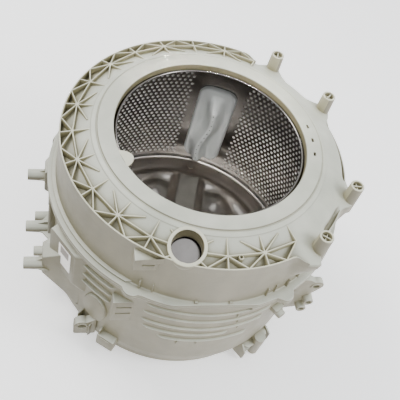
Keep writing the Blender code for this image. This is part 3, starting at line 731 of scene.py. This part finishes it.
def spring_lug(side):
    """A plate with a spring's eye near the machine's top, on a shelf with three fins."""
    around = 180 - side * SPRING_ANGLE
    outline = [(-160, 346), (-160, 290), *arc(SPRING_EYE, 14.0, 300, 180), (-198, 346)]
    shapes = [eye_plate(outline, SPRING_EYE, 7.0, side * 172, 14, 8.2)]
    shapes.append(post((229, 250), 34, (340, 346), around, 0.8, 3.0))
    for lean, outer in ((-3.2, 249), (3.6, 252), (8.2, 248)):
        shapes.append(post((233, outer), 2.4, (306, 345), around + lean, 0.6, 1.0))
    return shapes


def damper_lug(side):
    """A plate with the damper's eye, above two small tubes on a web and a third on a shelf."""
    outline = [(169, 214), (169, 160), (186, 161), *arc(DAMPER_EYE, 14.0, 250, 400)]
    outline += [(205, 206), (196, 214)]
    shapes = [eye_plate(outline, DAMPER_EYE, 6.0, side * 168, 12, 7.4)]
    for x, depth in ((202, 224), (197, 249)):
        foot, tip = (x, side * 160, LIP - depth), (x, side * 184, LIP - depth)
        shapes.append(tube(foot, tip, 9.0, 5.0, 16, 40, 0.6))
    web = [(170, 206), (200, 208), (211, 224), (206, 248), (196, 260), (168, 268)]
    shapes.append(side_slab(web, side, 164, 172, 0.8, 4.0))
    angle = side * DAMPER_ANGLE
    shapes.append(post((235, 250), 20, (196, 206), angle, 0.8, 3.0))
    shapes.append(tube(at(235, angle, 206), at(258, angle, 206), 8.0, 4.2, 12, 36, 1.0))
    return shapes


def motor_lug(side):
    """A tube for the motor's pin on the rear edge, with its block, cheeks and webs."""
    middle = side * MOTOR_ANGLE
    foot, tip = at(MOTOR_RADIUS, middle, 327), at(MOTOR_RADIUS, middle, 384)
    shapes = [tube(foot, tip, 10.0, 6.2, 34, 48, 0.6)]
    for inner, depths in ((233.5, (328, 356)), (221, (352, 383.4))):
        shapes.append(post((inner, MOTOR_RADIUS), 16, depths, middle, 1.0, 2.0))
    for lean, outer in ((-7.5, 252), (7.5, 250)):
        outline = [(232, 342), (outer - 14, 338), (outer, 352), (outer, 378), (221, 384), (221, 364)]
        place = standing(middle + side * lean)
        shapes.append(prism(outline, -1.8, 1.8, lambda a, d, b, place=place: place(a, b, d), 0.6, 3.0))
    for inner, outer, depth in ((230, 247, 345), (222, 245, 366)):
        shapes.append(hoop(inner, outer, depth, middle - 8, middle + 8, 2.6, 2.0))
    return shapes


SIDE_HOOPS = ((153, 244, 299), (178, 243.5, 300), (205, 243.5, 298), (226, 245, 283), (248, 252, 293))


def wall_ribs():
    """Hoops round parts of the rear wall."""
    shapes = []
    for depth, start, end in SIDE_HOOPS:
        for low, high in ((start, end), (360 - end, 360 - start)):
            shapes.append(hoop(235.5, 241.4, depth, low, high, 2.6, 4.0))
    for depth, start in ((158, 205), (182, 209), (204, 213)):
        for low, high in ((start, 235), (125, 360 - start)):
            shapes.append(hoop(235.5, 243.2, depth, low, high, 3.2, 4.0))
    for start, end in ((163, 238), (122, 160)):
        shapes.append(hoop(236, 245.5, 130.5, start, end, 2.6, 3.0))
    for angle in (187.0, 173.0):
        shapes.append(post((235, 248.5), 8.0, (127, 250), angle, 2.4, 3.6))
    return shapes


def side_box(side):
    """A slotted box, a rounded lobe, a foot pad and small marks on one side."""
    body = side_slab(oblong((-147, -112), (168, 231)), side, 190, 209, 1.4, 3.0)
    slots = [side_slab(oblong((-140, -116), (d, d + 4.2)), side, 203, 216, 0.3, 0.8) for d in (183, 203)]
    shapes = [cut(body, cavity(150, 250), *slots)]
    outline = [(24 * a, 256 + 37 * b) for a, b in arc((0, 0), 1.0, 0, 360, 28)[:-1]]
    shapes.append(prism(outline, 234.5, 243.2, facing(side * 134.0), 3.0, 1.0))
    pad = plaque(34, (318, 352), (222, 250), side * FOOT_ANGLE, 1.6, 4.0)
    shapes.append(cut(pad, cavity(300, 341, 234.0)))
    shapes.append(plaque(18, (322, 326), (236, 251.2), side * FOOT_ANGLE, 0.6, 1.5))
    shapes.append(plaque(6.0, (140, 150), (236, 243.0), side * 73.0, 1.0, 1.5))
    for angle, depth in ((78.0, 166), (76.5, 190), (75.0, 214), (98.0, 262), (90.0, 258)):
        shapes.append(plaque(2.4, (depth - 5, depth + 5), (235, 240.4), side * angle, 0.6, 1.0))
    return shapes


def drain_spigot():
    """The socket for the drain hose, with a bead that holds the hose's clip."""

    def point(radius, degrees, x):
        y, dz = flat_point(radius, degrees)
        return (x, y, LIP - DRAIN_DEPTH + dz)

    outline = [(29.5, 234.5), (33.6, 234.5), (33.0, 276), (34.4, 279)]
    outline += [(34.4, 281.5), (33.0, 284.0), (30.3, 284.8), (29.5, 284.0)]
    shapes = [spun(eased(outline, 0.6), 96, point)]
    for turn in range(0, 360, 45):
        near, far = (math.sqrt(236**2 - flat_point(out, turn)[0] ** 2) for out in (30, 46))
        outline = [(near, 30), (far, 47), (max(far, 236) + 3, 46), (256, 34), (256, 30)]
        shapes.append(fin(outline, turn, lambda x, dy, dz: (x, dy, LIP - DRAIN_DEPTH + dz), 1.2))
    return shapes


# ---------------------------------------------------------------- drum


def drum_front():
    """The drum's front end, from the rolled edge of its opening to the shoulder where it meets the wall."""
    rolled = [(radius, -height) for radius, height in arc((150.9, -11.4), 1.75, 235, -29, 12)]
    outer = [(157.0, 17.4), (172.0, 22.3), (190.0, 28.2), (217.0, 37.0), (224.5, 40.8), (226.5, 44.7)]
    under = [(225.5, 44.7), (223.6, 41.6), (216.4, 38.0), (189.6, 29.2), (171.6, 23.3), (156.2, 18.3)]
    return spun(rolled + eased(outer + under, 0.4, 2), SEGMENTS, at)


def drum_wall():
    """The drum's wall: three fields of dimpled holes, with plain strips behind the paddles.

    The wall is divided into staggered tiles. A tile's edge has eight points, which its neighbours share,
    and a holed tile has rings of eight points that go down its dimple to the hole.
    """
    columns = COLUMNS_PER_THIRD * THIRDS
    column = 360.0 / columns
    start = LIFTER_ANGLE + (COLUMNS_PER_THIRD - HOLED_COLUMNS) * column / 2
    pitch = math.radians(column) * WALL_RADIUS
    verts = []
    faces = []

    def place(u, v, drop):
        verts.append(at(WALL_RADIUS + drop, start + u * column, FIRST_ROW_DEPTH + v * ROW_PITCH))
        return len(verts) - 1

    lines = [[place(h / 2, k, 0) for h in range(2 * columns)] for k in range(ROWS + 1)]
    sides = [[place(c + (k % 2) / 2, k + 0.5, 0) for c in range(columns)] for k in range(ROWS)]
    for k in range(ROWS):
        shift = k % 2
        for c in range(columns):
            h = 2 * c + shift
            low = [lines[k][(h + i) % (2 * columns)] for i in range(3)]
            high = [lines[k + 1][(h + i) % (2 * columns)] for i in range(3)]
            edge = [*low, sides[k][(c + 1) % columns], *reversed(high), sides[k][c]]
            if c % COLUMNS_PER_THIRD >= HOLED_COLUMNS - shift:
                faces.append(tuple(edge))
                continue
            centre = (c + 0.5 + shift / 2, k + 0.5)
            rings = [edge]
            for radius, drop in DIMPLE:
                ring = []
                for angle in (225, 270, 315, 0, 45, 90, 135, 180):
                    du, dv = flat_point(radius, angle)
                    ring.append(place(centre[0] + du / pitch, centre[1] + dv / ROW_PITCH, drop))
                rings.append(ring)
            for outer, inner in zip(rings, rings[1:]):
                for i in range(8):
                    j = (i + 1) % 8
                    faces.append((outer[i], outer[j], inner[j], inner[i]))
    last = lines[-1]
    for line, depth in ((lines[0], WALL_TOP), (last, WALL_BOTTOM)):
        row = (depth - FIRST_ROW_DEPTH) / ROW_PITCH
        ring = [place(h / 2, row, 0) for h in range(2 * columns)]
        for h in range(2 * columns):
            i = (h + 1) % (2 * columns)
            faces.append((line[h], line[i], ring[i], ring[h]))
    return verts, faces


def back_relief(radius, degrees):
    """Depth of the drum's back: three arms with a bulge on each side, and holed discs between them."""
    cone = 281.4 + max(radius - 30, 0) * 0.2145
    x, y = flat_point(radius, degrees)
    lateral = 1e9
    bulge = 0.0
    disc = 0.0
    for i in range(THIRDS):
        arm_angle = ARM_ANGLE + 120 * i
        away = math.radians(degrees - arm_angle)
        if math.cos(away) > 0:
            lateral = min(lateral, radius * abs(math.sin(away)))
        for side in (-1, 1):
            middle = flat_point(BULGE_RADIUS, arm_angle + side * BULGE_TURN)
            away = math.hypot(x - middle[0], y - middle[1])
            bulge = max(bulge, 1 - smooth((away - 2) / 38))
        middle = flat_point(DISC_RADIUS, arm_angle + 60)
        away = math.hypot(x - middle[0], y - middle[1])
        disc = max(disc, 1 - smooth((away - 34) / 10))
    arm = 1 - smooth((lateral - 20.0) / 20.0)
    field = smooth((radius - 34) / 30) * (1 - smooth((radius - 152) / 34))
    depth = cone + 21.0 * field * (1 - arm) - 14.0 * bulge * (1 - disc) - 4.0 * disc
    if radius > 160:
        edge = smooth((radius - 160) / 36)
        depth = depth * (1 - edge) + 331.0 * edge
    if radius > 196:
        depth = 331.0 + 2.6 * smooth((radius - 196) / 18)
    return depth


def drum_back():
    """The drum's back as one pressed sheet, with drain holes in the raised discs of its sunk fields."""
    radii = [0.0, 10, 20, 27, 33, 40, 46, 52, 58, 64, 70, 76]
    radii += list(range(80, 200, 3)) + [200, 204, 208, 212, 216, 220, 223, 225.4, 226.5]
    outline = [(r, 0.0) for r in radii] + [(226.5, 1.0)] + [(r, 1.0) for r in reversed(radii)]

    def point(radius, degrees, under):
        depth = back_relief(radius, degrees)
        if radius > 224:
            depth -= (radius - 224) * 0.8
        return at(radius, degrees, depth + under)

    shape = spun(outline, SEGMENTS, point)
    drills = []
    for i in range(THIRDS):
        x, y = flat_point(DISC_RADIUS, ARM_ANGLE + 60 + 120 * i)
        for ring, count in ((0, 1), (8, 6), (16, 12), (24, 18), (31, 24)):
            for step in range(count):
                dx, dy = flat_point(ring, 360 * step / count + 15)
                top, bottom = (x + dx, y + dy, LIP - 285), (x + dx, y + dy, LIP - 330)
                drills.append(rod(top, bottom, 1.9, 8))
    for i in range(THIRDS):
        x, y = flat_point(204.0, ARM_ANGLE + 120 * i)
        drills.append(rod((x, y, LIP - 320), (x, y, LIP - 345), 4.3, 24))
    return cut(shape, *drills)


RIDGE_PATH = ((104, 4), (116, 3), (128, 2), (145, -1), (165, -4.5), (189, -5.3), (205, -1.5))
RIDGE_PATH += ((222, 4), (240, 9.5), (258, 12), (272, 10.5), (283, 8), (300, 6), (308, 6))


def ridge_centre(depth):
    """How far the paddle's ridge lies from its middle line, at a depth."""
    depths, offsets = zip(*RIDGE_PATH)
    near = [np.interp(depth + step, depths, offsets) for step in (-12, -6, 0, 6, 12)]
    return float(np.mean(near))


def paddle():
    """A moulded paddle: a rounded pad on the drum's wall with an S-shaped ridge, drilled along its crest."""
    top, bottom = 109.0, 307.5
    half, corner = 38.0, 20.0
    rows, columns = 84, 52
    base_radius = WALL_RADIUS - 0.9
    verts = []
    for depth in spread(top, bottom, rows):
        from_end = min(depth - top, bottom - depth)
        width = half
        if from_end < corner:
            width = half - corner + math.sqrt(corner**2 - (corner - from_end) ** 2)
        crest = ridge_centre(depth)
        swell = smooth((depth - 118) / 34) * (1 - smooth((depth - 290) / 15))
        for u in spread(-width, width, columns):
            inward = max(min(width - abs(u), from_end), 0.0)
            pad = 9.0 * math.sqrt(1 - (1 - min(inward / 9.0, 1.0)) ** 2)
            away = abs(u - crest)
            ridge = 25.5 * swell * (1 - smooth((away - 3.0) / 19.0))
            hollow = 2.0 * swell * math.exp(-(((away - 24) / 6) ** 2))
            height = max(pad + ridge * smooth(inward / 12) - hollow * smooth(inward / 14), 0.0)
            verts.append(at(base_radius - height, math.degrees(u / base_radius), depth))
    first_back = len(verts)
    for x, y, z in list(verts):
        scale = (base_radius + 0.6) / math.hypot(x, y)
        verts.append((x * scale, y * scale, z))
    down = columns + 1
    corners = [[row * down + column for column in range(columns)] for row in range(rows)]
    faces = [(i, i + 1, i + down + 1, i + down) for line in corners for i in line]
    faces += [tuple(first_back + i for i in (face[0], *reversed(face[1:]))) for face in faces]
    sides = [(row * down + column, down) for row in range(rows) for column in (0, columns)]
    sides += [(row * down + column, 1) for row in (0, rows) for column in range(columns)]
    faces += [(i, i + step, first_back + i + step, first_back + i) for i, step in sides]
    drills = []
    for depth in spread(128, 283, 12):
        angle = math.degrees(ridge_centre(depth) / base_radius)
        drills.append(rod(at(base_radius - 45, angle, depth), at(base_radius - 27, angle, depth), 1.7, 12))
    return cut((verts, faces), *drills)


def turned_about_z(shape, degrees):
    cos, sin = flat_point(1.0, degrees)
    verts = [(x * cos - y * sin, x * sin + y * cos, z) for x, y, z in shape[0]]
    return verts, shape[1]


# ---------------------------------------------------------------- materials


class NodeTree:
    """A node tree, with short ways to add to it."""

    def __init__(self, tree):
        self.tree = tree

    def feed(self, socket, value):
        """Gives an input a number, a vector or colour, or another node's output."""
        if isinstance(value, bpy.types.NodeSocket):
            self.tree.links.new(value, socket)
        elif isinstance(value, tuple) and len(value) < len(socket.default_value):
            socket.default_value = (*value, 1)
        else:
            socket.default_value = value

    def node(self, kind, **inputs):
        """A new node, with some of its inputs fed."""
        node = self.tree.nodes.new("ShaderNode" + kind)
        for name, value in inputs.items():
            self.feed(node.inputs[name.replace("_", " ")], value)
        return node

    def ramp(self, value, low, high, first=(0, 0, 0), second=(1, 1, 1)):
        node = self.node("ValToRGB", Fac=value)
        for i, position, tone in ((0, low, first), (1, high, second)):
            node.color_ramp.elements[i].position = position
            node.color_ramp.elements[i].color = (*tone, 1)
        return node.outputs["Color"]


class Surface(NodeTree):
    """A material with one Principled shader."""

    def __init__(self, name, roughness, metallic=0.0):
        self.material = bpy.data.materials.new(name)
        self.material.use_nodes = True
        super().__init__(self.material.node_tree)
        self.inputs = self.tree.nodes["Principled BSDF"].inputs
        self.feed(self.inputs["Roughness"], roughness)
        self.feed(self.inputs["Metallic"], metallic)
        self.place = self.node("TexCoord").outputs["Object"]

    def noise(self, scale, detail=3.0, stretch=None):
        place = self.place
        if stretch:
            place = self.node("Mapping", Vector=place, Scale=stretch).outputs["Vector"]
        return self.node("TexNoise", Vector=place, Scale=scale, Detail=detail).outputs["Fac"]

    def mix(self, share, first, second, blend="MIX"):
        node = self.node("Mix")
        node.data_type = "RGBA"
        node.blend_type = blend
        for i, value in ((0, share), (6, first), (7, second)):
            self.feed(node.inputs[i], value)
        return node.outputs[2]

    def crevice(self, distance, low, high):
        """1 in corners and grooves, 0 in the open."""
        node = self.node("AmbientOcclusion", Distance=distance)
        node.samples = 8
        return self.ramp(node.outputs["AO"], low, high, (1, 1, 1), (0, 0, 0))

    def upright(self, low, high):
        """1 on walls, 0 on faces that look up or down."""
        normal = self.node("NewGeometry").outputs["Normal"]
        size = self.node("Math")
        size.operation = "ABSOLUTE"
        self.feed(size.inputs[0], self.node("SeparateXYZ", Vector=normal).outputs["Z"])
        return self.ramp(size.outputs[0], low, high, (1, 1, 1), (0, 0, 0))

    def ranged(self, value, low, high, start=0.0, end=1.0):
        """A value between start and end, moved to between low and high."""
        limits = {"From_Min": start, "From_Max": end, "To_Min": low, "To_Max": high}
        return self.node("MapRange", Value=value, **limits).outputs["Result"]

    def toward_top(self):
        """1 at the machine's top, falling to 0 at its middle."""
        x = self.node("SeparateXYZ", Vector=self.place).outputs["X"]
        return self.ranged(x, 1.0, 0.0, -0.235, 0.0)

    def colour(self, value):
        self.feed(self.inputs["Base Color"], value)

    def roughness(self, value, low, high):
        self.feed(self.inputs["Roughness"], self.ranged(value, low, high))

    def bump(self, value, strength, distance):
        node = self.node("Bump", Strength=strength, Distance=distance, Height=value)
        self.feed(self.inputs["Normal"], node.outputs["Normal"])


PLAIN_FACE = ((0.46, 0.475, 0.395), (0.54, 0.55, 0.465))
# Painted shade: darker, browner copies of the plain tones, for walls.
PLAIN_WALL_PAINTED_SHADE = ((0.20, 0.18, 0.127), (0.25, 0.228, 0.165))
# Painted shade, multiplied into the walls toward the machine's top.
TOP_SIDE_PAINTED_SHADE = (0.44, 0.42, 0.29)
# Painted highlight: ribs, collar and bosses lighter and creamier than the plate. Their walls also carry
# painted shade.
RIB_FACE_PAINTED_HIGHLIGHT = ((0.58, 0.575, 0.44), (0.64, 0.635, 0.50))
RIB_WALL_HIGHLIGHT_AND_SHADE = ((0.34, 0.32, 0.21), (0.41, 0.385, 0.265))
# Painted shade: the walls inside the door opening and the dispenser hole.
OPENING_FACE_PAINTED_SHADE = ((0.30, 0.27, 0.17), (0.38, 0.35, 0.23))
OPENING_WALL_PAINTED_SHADE = ((0.17, 0.15, 0.085), (0.24, 0.21, 0.125))
# Painted shade: steel tones set well below bare stainless so the drum's inside reads dark.
STEEL_PAINTED_SHADE = ((0.19, 0.179, 0.17), (0.28, 0.265, 0.253))
# Painted highlight: the dimples' slopes, far brighter than the steel round them.
DIMPLE_PAINTED_HIGHLIGHT = ((0.84, 0.81, 0.78), (0.92, 0.89, 0.86))
BACK_STEEL = ((0.42, 0.395, 0.36), (0.52, 0.49, 0.45))


def tub_plastic(name, face_tones, wall_shade_tones, crevice_shade_share):
    """Cream polypropylene: cloudy, with painted shade that makes its walls darker and browner, more painted
    shade on the walls toward the machine's top and in its corners, and faint flow marks."""
    surface = Surface(name, 0.42)
    clouds = surface.ramp(surface.noise(9.0, 4.0), 0.35, 0.68)
    face = surface.mix(clouds, *face_tones)
    wall_shade = surface.mix(clouds, *wall_shade_tones)
    # Painted shade: the wall tones are darkened further toward the machine's top.
    wall_shade = surface.mix(surface.toward_top(), wall_shade, TOP_SIDE_PAINTED_SHADE, "MULTIPLY")
    # Painted shade: walls take the darker wall tones, and faces that look up or down keep the face tones.
    base = surface.mix(surface.upright(0.25, 0.8), face, wall_shade)
    streaks = surface.ramp(surface.noise(26.0, 2.0, (1, 1, 0.12)), 0.42, 0.75)
    base = surface.mix(0.14, base, streaks, "MULTIPLY")
    # Painted shade: corners and grooves are darkened toward olive brown.
    crevice_shade = surface.crevice(0.016, 0.35, 0.92)
    base = surface.mix(surface.mix(crevice_shade_share, (0, 0, 0), crevice_shade), base, (0.22, 0.20, 0.115))
    specks = surface.ramp(surface.noise(420.0, 2.0), 0.30, 0.36, (0.75, 0.72, 0.66), (1, 1, 1))
    base = surface.mix(0.35, base, specks, "MULTIPLY")
    surface.colour(base)
    surface.roughness(surface.noise(60.0, 3.0), 0.36, 0.56)
    surface.bump(surface.noise(900.0, 2.0), 0.12, 0.0004)
    return surface.material


def lifter_plastic():
    """Grey-green moulded plastic with a satin surface."""
    surface = Surface("lifter_plastic_look", 0.38)
    clouds = surface.ramp(surface.noise(30.0, 3.0), 0.3, 0.7)
    base = surface.mix(clouds, (0.68, 0.70, 0.675), (0.75, 0.77, 0.745))
    # Painted shade: corners and grooves are darkened toward a dull grey-green.
    crevice_shade = surface.crevice(0.010, 0.3, 0.9)
    base = surface.mix(surface.mix(0.3, (0, 0, 0), crevice_shade), base, (0.40, 0.41, 0.36))
    surface.colour(base)
    surface.roughness(surface.noise(90.0, 3.0), 0.30, 0.46)
    surface.bump(surface.noise(700.0, 2.0), 0.1, 0.0003)
    return surface.material


def clouded(name, metallic, clouds, limits, tones, gloss, roughness, grain, bump):
    """A surface of two tones in soft clouds, with its own uneven gloss and fine grain.

    clouds, gloss and grain are each a noise: its scale, and for some its detail and stretch.
    """
    surface = Surface(name, 0.5, metallic)
    surface.colour(surface.mix(surface.ramp(surface.noise(*clouds), *limits), *tones))
    surface.roughness(surface.noise(*gloss), *roughness)
    surface.bump(surface.noise(*grain), *bump)
    return surface.material


def drum_steel(name, tones, roughness):
    """Rolled stainless sheet with water marks and a slight waviness."""
    gloss, grain = ((75.0, 4.0), roughness), ((22.0, 2.0), (0.25, 0.0012))
    return clouded(name, 1.0, (18.0, 4.0), (0.35, 0.7), tones, *gloss, *grain)


def machined_steel(name, tones, pitch):
    """Turned or ground steel, with fine tool marks round the axis."""
    marks = (pitch, 2.0, (0.04, 0.04, 1.0))
    return clouded(name, 1.0, (60.0,), (0.3, 0.7), tones, marks, (0.16, 0.36), marks, (0.15, 0.0002))


def cast_alloy():
    """Die-cast aluminium with a dull, slightly pitted skin."""
    tones = ((0.46, 0.47, 0.48), (0.60, 0.61, 0.62))
    gloss, grain = ((140.0, 3.0), (0.40, 0.62)), ((520.0, 4.0), (0.3, 0.0004))
    return clouded("cast_alloy_look", 1.0, (45.0, 5.0), (0.3, 0.7), tones, *gloss, *grain)


def seal_rubber():
    """Black nitrile rubber with a dusty bloom."""
    tones = ((0.018, 0.018, 0.018), (0.05, 0.05, 0.048))
    gloss, grain = ((200.0,), (0.6, 0.85)), ((900.0,), (0.15, 0.0003))
    return clouded("seal_rubber_look", 0.0, (80.0, 4.0), (0.4, 0.75), tones, *gloss, *grain)


def seal_brass():
    """Turned brass with a light tarnish."""
    tones = ((0.72, 0.53, 0.26), (0.48, 0.33, 0.17))
    gloss, grain = ((120.0,), (0.22, 0.45)), ((500.0, 2.0, (0.05, 0.05, 1.0)), (0.1, 0.0002))
    return clouded("seal_brass_look", 1.0, (70.0, 4.0), (0.35, 0.75), tones, *gloss, *grain)


def label_paper():
    """Coated paper, slightly yellowed, with faint fibres."""
    tones = ((0.60, 0.57, 0.53), (0.72, 0.70, 0.66))
    gloss, grain = ((200.0,), (0.42, 0.6)), ((800.0,), (0.1, 0.0002))
    return clouded("label_paper_look", 0.0, (320.0, 5.0), (0.3, 0.7), tones, *gloss, *grain)


def label_panel():
    """The label's plain printed panel."""
    tones = ((0.12, 0.10, 0.085), (0.18, 0.155, 0.13))
    gloss, grain = ((300.0,), (0.4, 0.55)), ((800.0,), (0.08, 0.0002))
    return clouded("label_panel_look", 0.0, (500.0, 3.0), (0.3, 0.7), tones, *gloss, *grain)


# ---------------------------------------------------------------- pieces


def piece(name, shape, materials, body, slot, *nodes, crease=40.0):
    """A visible piece. Its first material is on all of it, until paint gives some faces another."""
    item = mesh_object(name, shape, crease)
    for material in materials:
        item.data.materials.append(material)
    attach(item, body)
    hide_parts(*nodes)
    return item


def make_label(paper, panel):
    """A paper label on the flat pad, with one plain dark panel."""
    place = facing(-PAD_ANGLE)
    base = PAD_DISTANCE + 0.3
    low, high = -35.0, -3.0
    sheet = prism(oblong((low, high), (147.5, 202.5)), base, base + 0.45, place, 0.12, 1.2)
    dark = prism(oblong((low + 5, high - 5), (150.5, 170.5)), base + 0.4, base + 0.5, place, 0.03, 0.4)
    item = piece("label_sheet", joined(sheet, dark), [paper, panel], "tub", "label_paper", "blank_label")
    first_dark = len(sheet[1])
    for polygon in item.data.polygons[first_dark:]:
        polygon.material_index = 1


def paint_front(item, first_detail):
    """Ribs, collar and bosses get a painted highlight, lighter and creamier than the plate, and the walls of
    the two openings get painted shade.
    """
    for polygon in item.data.polygons:
        x, y, z = (c / MM for c in polygon.center)
        deep = LIP - z
        radius = math.hypot(x, y)
        on_skirt = radius > 233.5 and deep > cone_top(RIM) + 2.0
        # Painted highlight: raised details off the skirt take the lighter rib look.
        if polygon.index >= first_detail and not on_skirt:
            polygon.material_index = 1
        in_opening = 154.5 < radius < 158.8 and deep > 1.6
        in_hole = math.hypot(x - HOLE[0], y - HOLE[1]) < HOLE_RADIUS + 0.25
        if in_opening or in_hole:
            # Painted shade: the walls inside the door opening and the dispenser hole take the dark look.
            polygon.material_index = 2


def make_pieces():
    plain = tub_plastic("tub_plastic_look", PLAIN_FACE, PLAIN_WALL_PAINTED_SHADE, 0.85)
    # Painted highlight: the lighter, creamier look for ribs, collar and bosses.
    rib_highlight = tub_plastic("tub_rib_painted_highlight_look", RIB_FACE_PAINTED_HIGHLIGHT, RIB_WALL_HIGHLIGHT_AND_SHADE, 0.75)
    # Painted shade: the dark look for the walls inside the two openings.
    opening_shade = tub_plastic("tub_opening_painted_shade_look", OPENING_FACE_PAINTED_SHADE, OPENING_WALL_PAINTED_SHADE, 0.5)
    # Painted shade: the darkened steel of the drum's front and of the wall between the dimples.
    steel = [drum_steel("drum_steel_painted_shade_look", STEEL_PAINTED_SHADE, (0.08, 0.22))]
    # Painted highlight: the bright steel for the dimples' slopes.
    dimpled = [*steel, drum_steel("drum_dimple_painted_highlight_look", DIMPLE_PAINTED_HIGHLIGHT, (0.30, 0.40))]
    pressed = [drum_steel("drum_back_look", BACK_STEEL, (0.27, 0.37))]
    grey = [lifter_plastic()]
    cover = cover_body()
    shape = joined(cover, *front_details())
    front = piece("tub_front", shape, [plain, rib_highlight, opening_shade], "tub", "tub_plastic", "front_tub_cover")
    paint_front(front, len(cover[1]))
    rear = [rear_body(), *wall_ribs(), *back_ribs(), *top_bosses()]
    for build in (wall_pad, spring_lug, damper_lug, motor_lug, side_box):
        rear += [*build(-1), *build(1)]
    rear += drain_spigot()
    piece("tub_rear", joined(*rear), [plain], "tub", "tub_plastic", "rear_tub_half")
    piece("drum_front_sheet", drum_front(), steel, "drum", "drum_steel", "drum_front")
    wall = piece("drum_wall_sheet", drum_wall(), dimpled, "drum", "drum_steel", "drum_wrapper", crease=80.0)
    # Painted highlight: the dimples' faces take the bright steel.
    for polygon in wall.data.polygons:
        if math.hypot(polygon.center.x, polygon.center.y) / MM > WALL_RADIUS + 0.05:
            polygon.material_index = 1
    thick = wall.modifiers.new("Sheet", "SOLIDIFY")
    thick.thickness = 0.7 * MM
    thick.offset = -1.0
    piece("drum_back_sheet", drum_back(), pressed, "drum", "drum_steel", "drum_back", crease=50.0)
    shape = paddle()
    for i in range(THIRDS):
        turned_shape = turned_about_z(shape, LIFTER_ANGLE + 120 * i)
        name = f"lifter_{i + 1}"
        piece(f"paddle_{i + 1}", turned_shape, grey, "drum", "lifter_plastic", name, crease=50.0)
    make_label(label_paper(), label_panel())


def dress_frame():
    """Materials for the nodes that are carried over as they are, with the edges of the spider and its bolts
    eased.
    """
    shaft = machined_steel("shaft_steel_look", ((0.40, 0.40, 0.40), (0.52, 0.52, 0.52)), 900.0)
    bearing = machined_steel("bearing_steel_look", ((0.55, 0.55, 0.55), (0.68, 0.68, 0.68)), 1400.0)
    alloy = cast_alloy()
    looks = {"spider": alloy, "bearing_sleeve": alloy, "drum_shaft": shaft}
    looks["shaft_seal"] = seal_rubber()
    looks["seal_running_ring"] = seal_brass()
    for name, node in frame["nodes"].items():
        if node.hide_render:
            continue
        look = looks.get(name, bearing)
        if name.startswith("spider_bolt"):
            look = bpy.data.materials["drum_back_look"]
        node.data.materials.clear()
        node.data.materials.append(look)
        if name.startswith("spider"):
            ease = node.modifiers.new("Ease", "BEVEL")
            ease.width = 0.6 * MM
            ease.segments = 2
            ease.limit_method = "ANGLE"
            ease.angle_limit = math.radians(40)


# ---------------------------------------------------------------- stage


def add_light(name, place, target, size, power, colour, spread=180.0):
    light = bpy.data.lights.new(name, "AREA")
    light.shape = "RECTANGLE"
    light.size, light.size_y = size
    light.energy = power
    light.color = colour
    light.spread = math.radians(spread)
    item = bpy.data.objects.new(name, light)
    item.location = place
    item.rotation_euler = (Vector(target) - Vector(place)).to_track_quat("-Z", "Y").to_euler()
    bpy.context.scene.collection.objects.link(item)


def make_stage():
    """A pale floor that curves up into a low wall all round, under a sky that is brightest overhead."""
    profile = [(0, 0), *arc((8000, 1000), 1000, -90, 0), (9000, 3600), (9020, 3600), (9020, -10), (0, -10)]
    shape = spun(profile, 96, lambda radius, degrees, height: (*flat_point(radius, degrees), height))
    floor = mesh_object("floor", shape)
    surface = Surface("floor_look", 0.75)
    surface.colour(surface.mix(surface.noise(3.0), (0.91, 0.91, 0.91), (0.94, 0.94, 0.94)))
    surface.feed(surface.inputs["Emission Color"], (1, 1, 1))
    surface.feed(surface.inputs["Emission Strength"], 0.6)
    floor.data.materials.append(surface.material)
    floor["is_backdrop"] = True
    world = bpy.data.worlds.new("studio")
    bpy.context.scene.world = world
    world.use_nodes = True
    sky = NodeTree(world.node_tree)
    height = sky.node("SeparateXYZ", Vector=sky.node("TexCoord").outputs["Generated"]).outputs["Z"]
    background = sky.tree.nodes["Background"]
    sky.feed(background.inputs["Color"], sky.ramp(height, 0.1, 0.9, (0.06, 0.06, 0.06), (0.95, 0.97, 1.0)))
    sky.feed(background.inputs["Strength"], 1.6)
    middle = (0, 0, 0.25)
    add_light("key", (-1.3, 1.2, 2.4), middle, (1.2, 0.8), 60.0, (1.0, 0.98, 0.95))
    add_light("fill", (1.5, -0.9, 2.0), middle, (0.7, 1.1), 34.0, (0.97, 0.98, 1.0))
    wide, narrow = (0.16, 0.16), (0.12, 0.12)
    left, right = (-0.058, 0.217, 0.186), (0.18, 0.136, 0.2)
    add_light("into_drum", (-0.35, -1.1, 2.3), (0.03, 0.12, 0.25), wide, 0.08, (1, 1, 1), 8.0)
    add_light("drum_left", (0.23, -0.85, 2.26), left, narrow, 0.09, (1.0, 0.95, 0.88), 6.0)
    add_light("drum_right", (-0.70, -0.52, 2.27), right, narrow, 0.11, (1.0, 0.96, 0.9), 6.0)


def make_camera():
    camera = bpy.data.cameras.new("camera")
    camera.lens = CAMERA_LENS
    camera.sensor_width = 36.0
    item = bpy.data.objects.new("camera", camera)
    place, target = Vector(CAMERA_PLACE), Vector(CAMERA_TARGET)
    look = (target - place).to_track_quat("-Z", "Y").to_matrix()
    turn = Matrix.Rotation(math.radians(CAMERA_ROLL), 3, "Z")
    item.matrix_world = Matrix.Translation(place) @ (look @ turn).to_4x4()
    bpy.context.scene.collection.objects.link(item)
    bpy.context.scene.camera = item


make_camera()
make_pieces()
dress_frame()
make_stage()

bpy.context.view_layer.update()
boxes = [[list(corner) for corner in bounds] for bounds in (cad_box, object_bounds())]
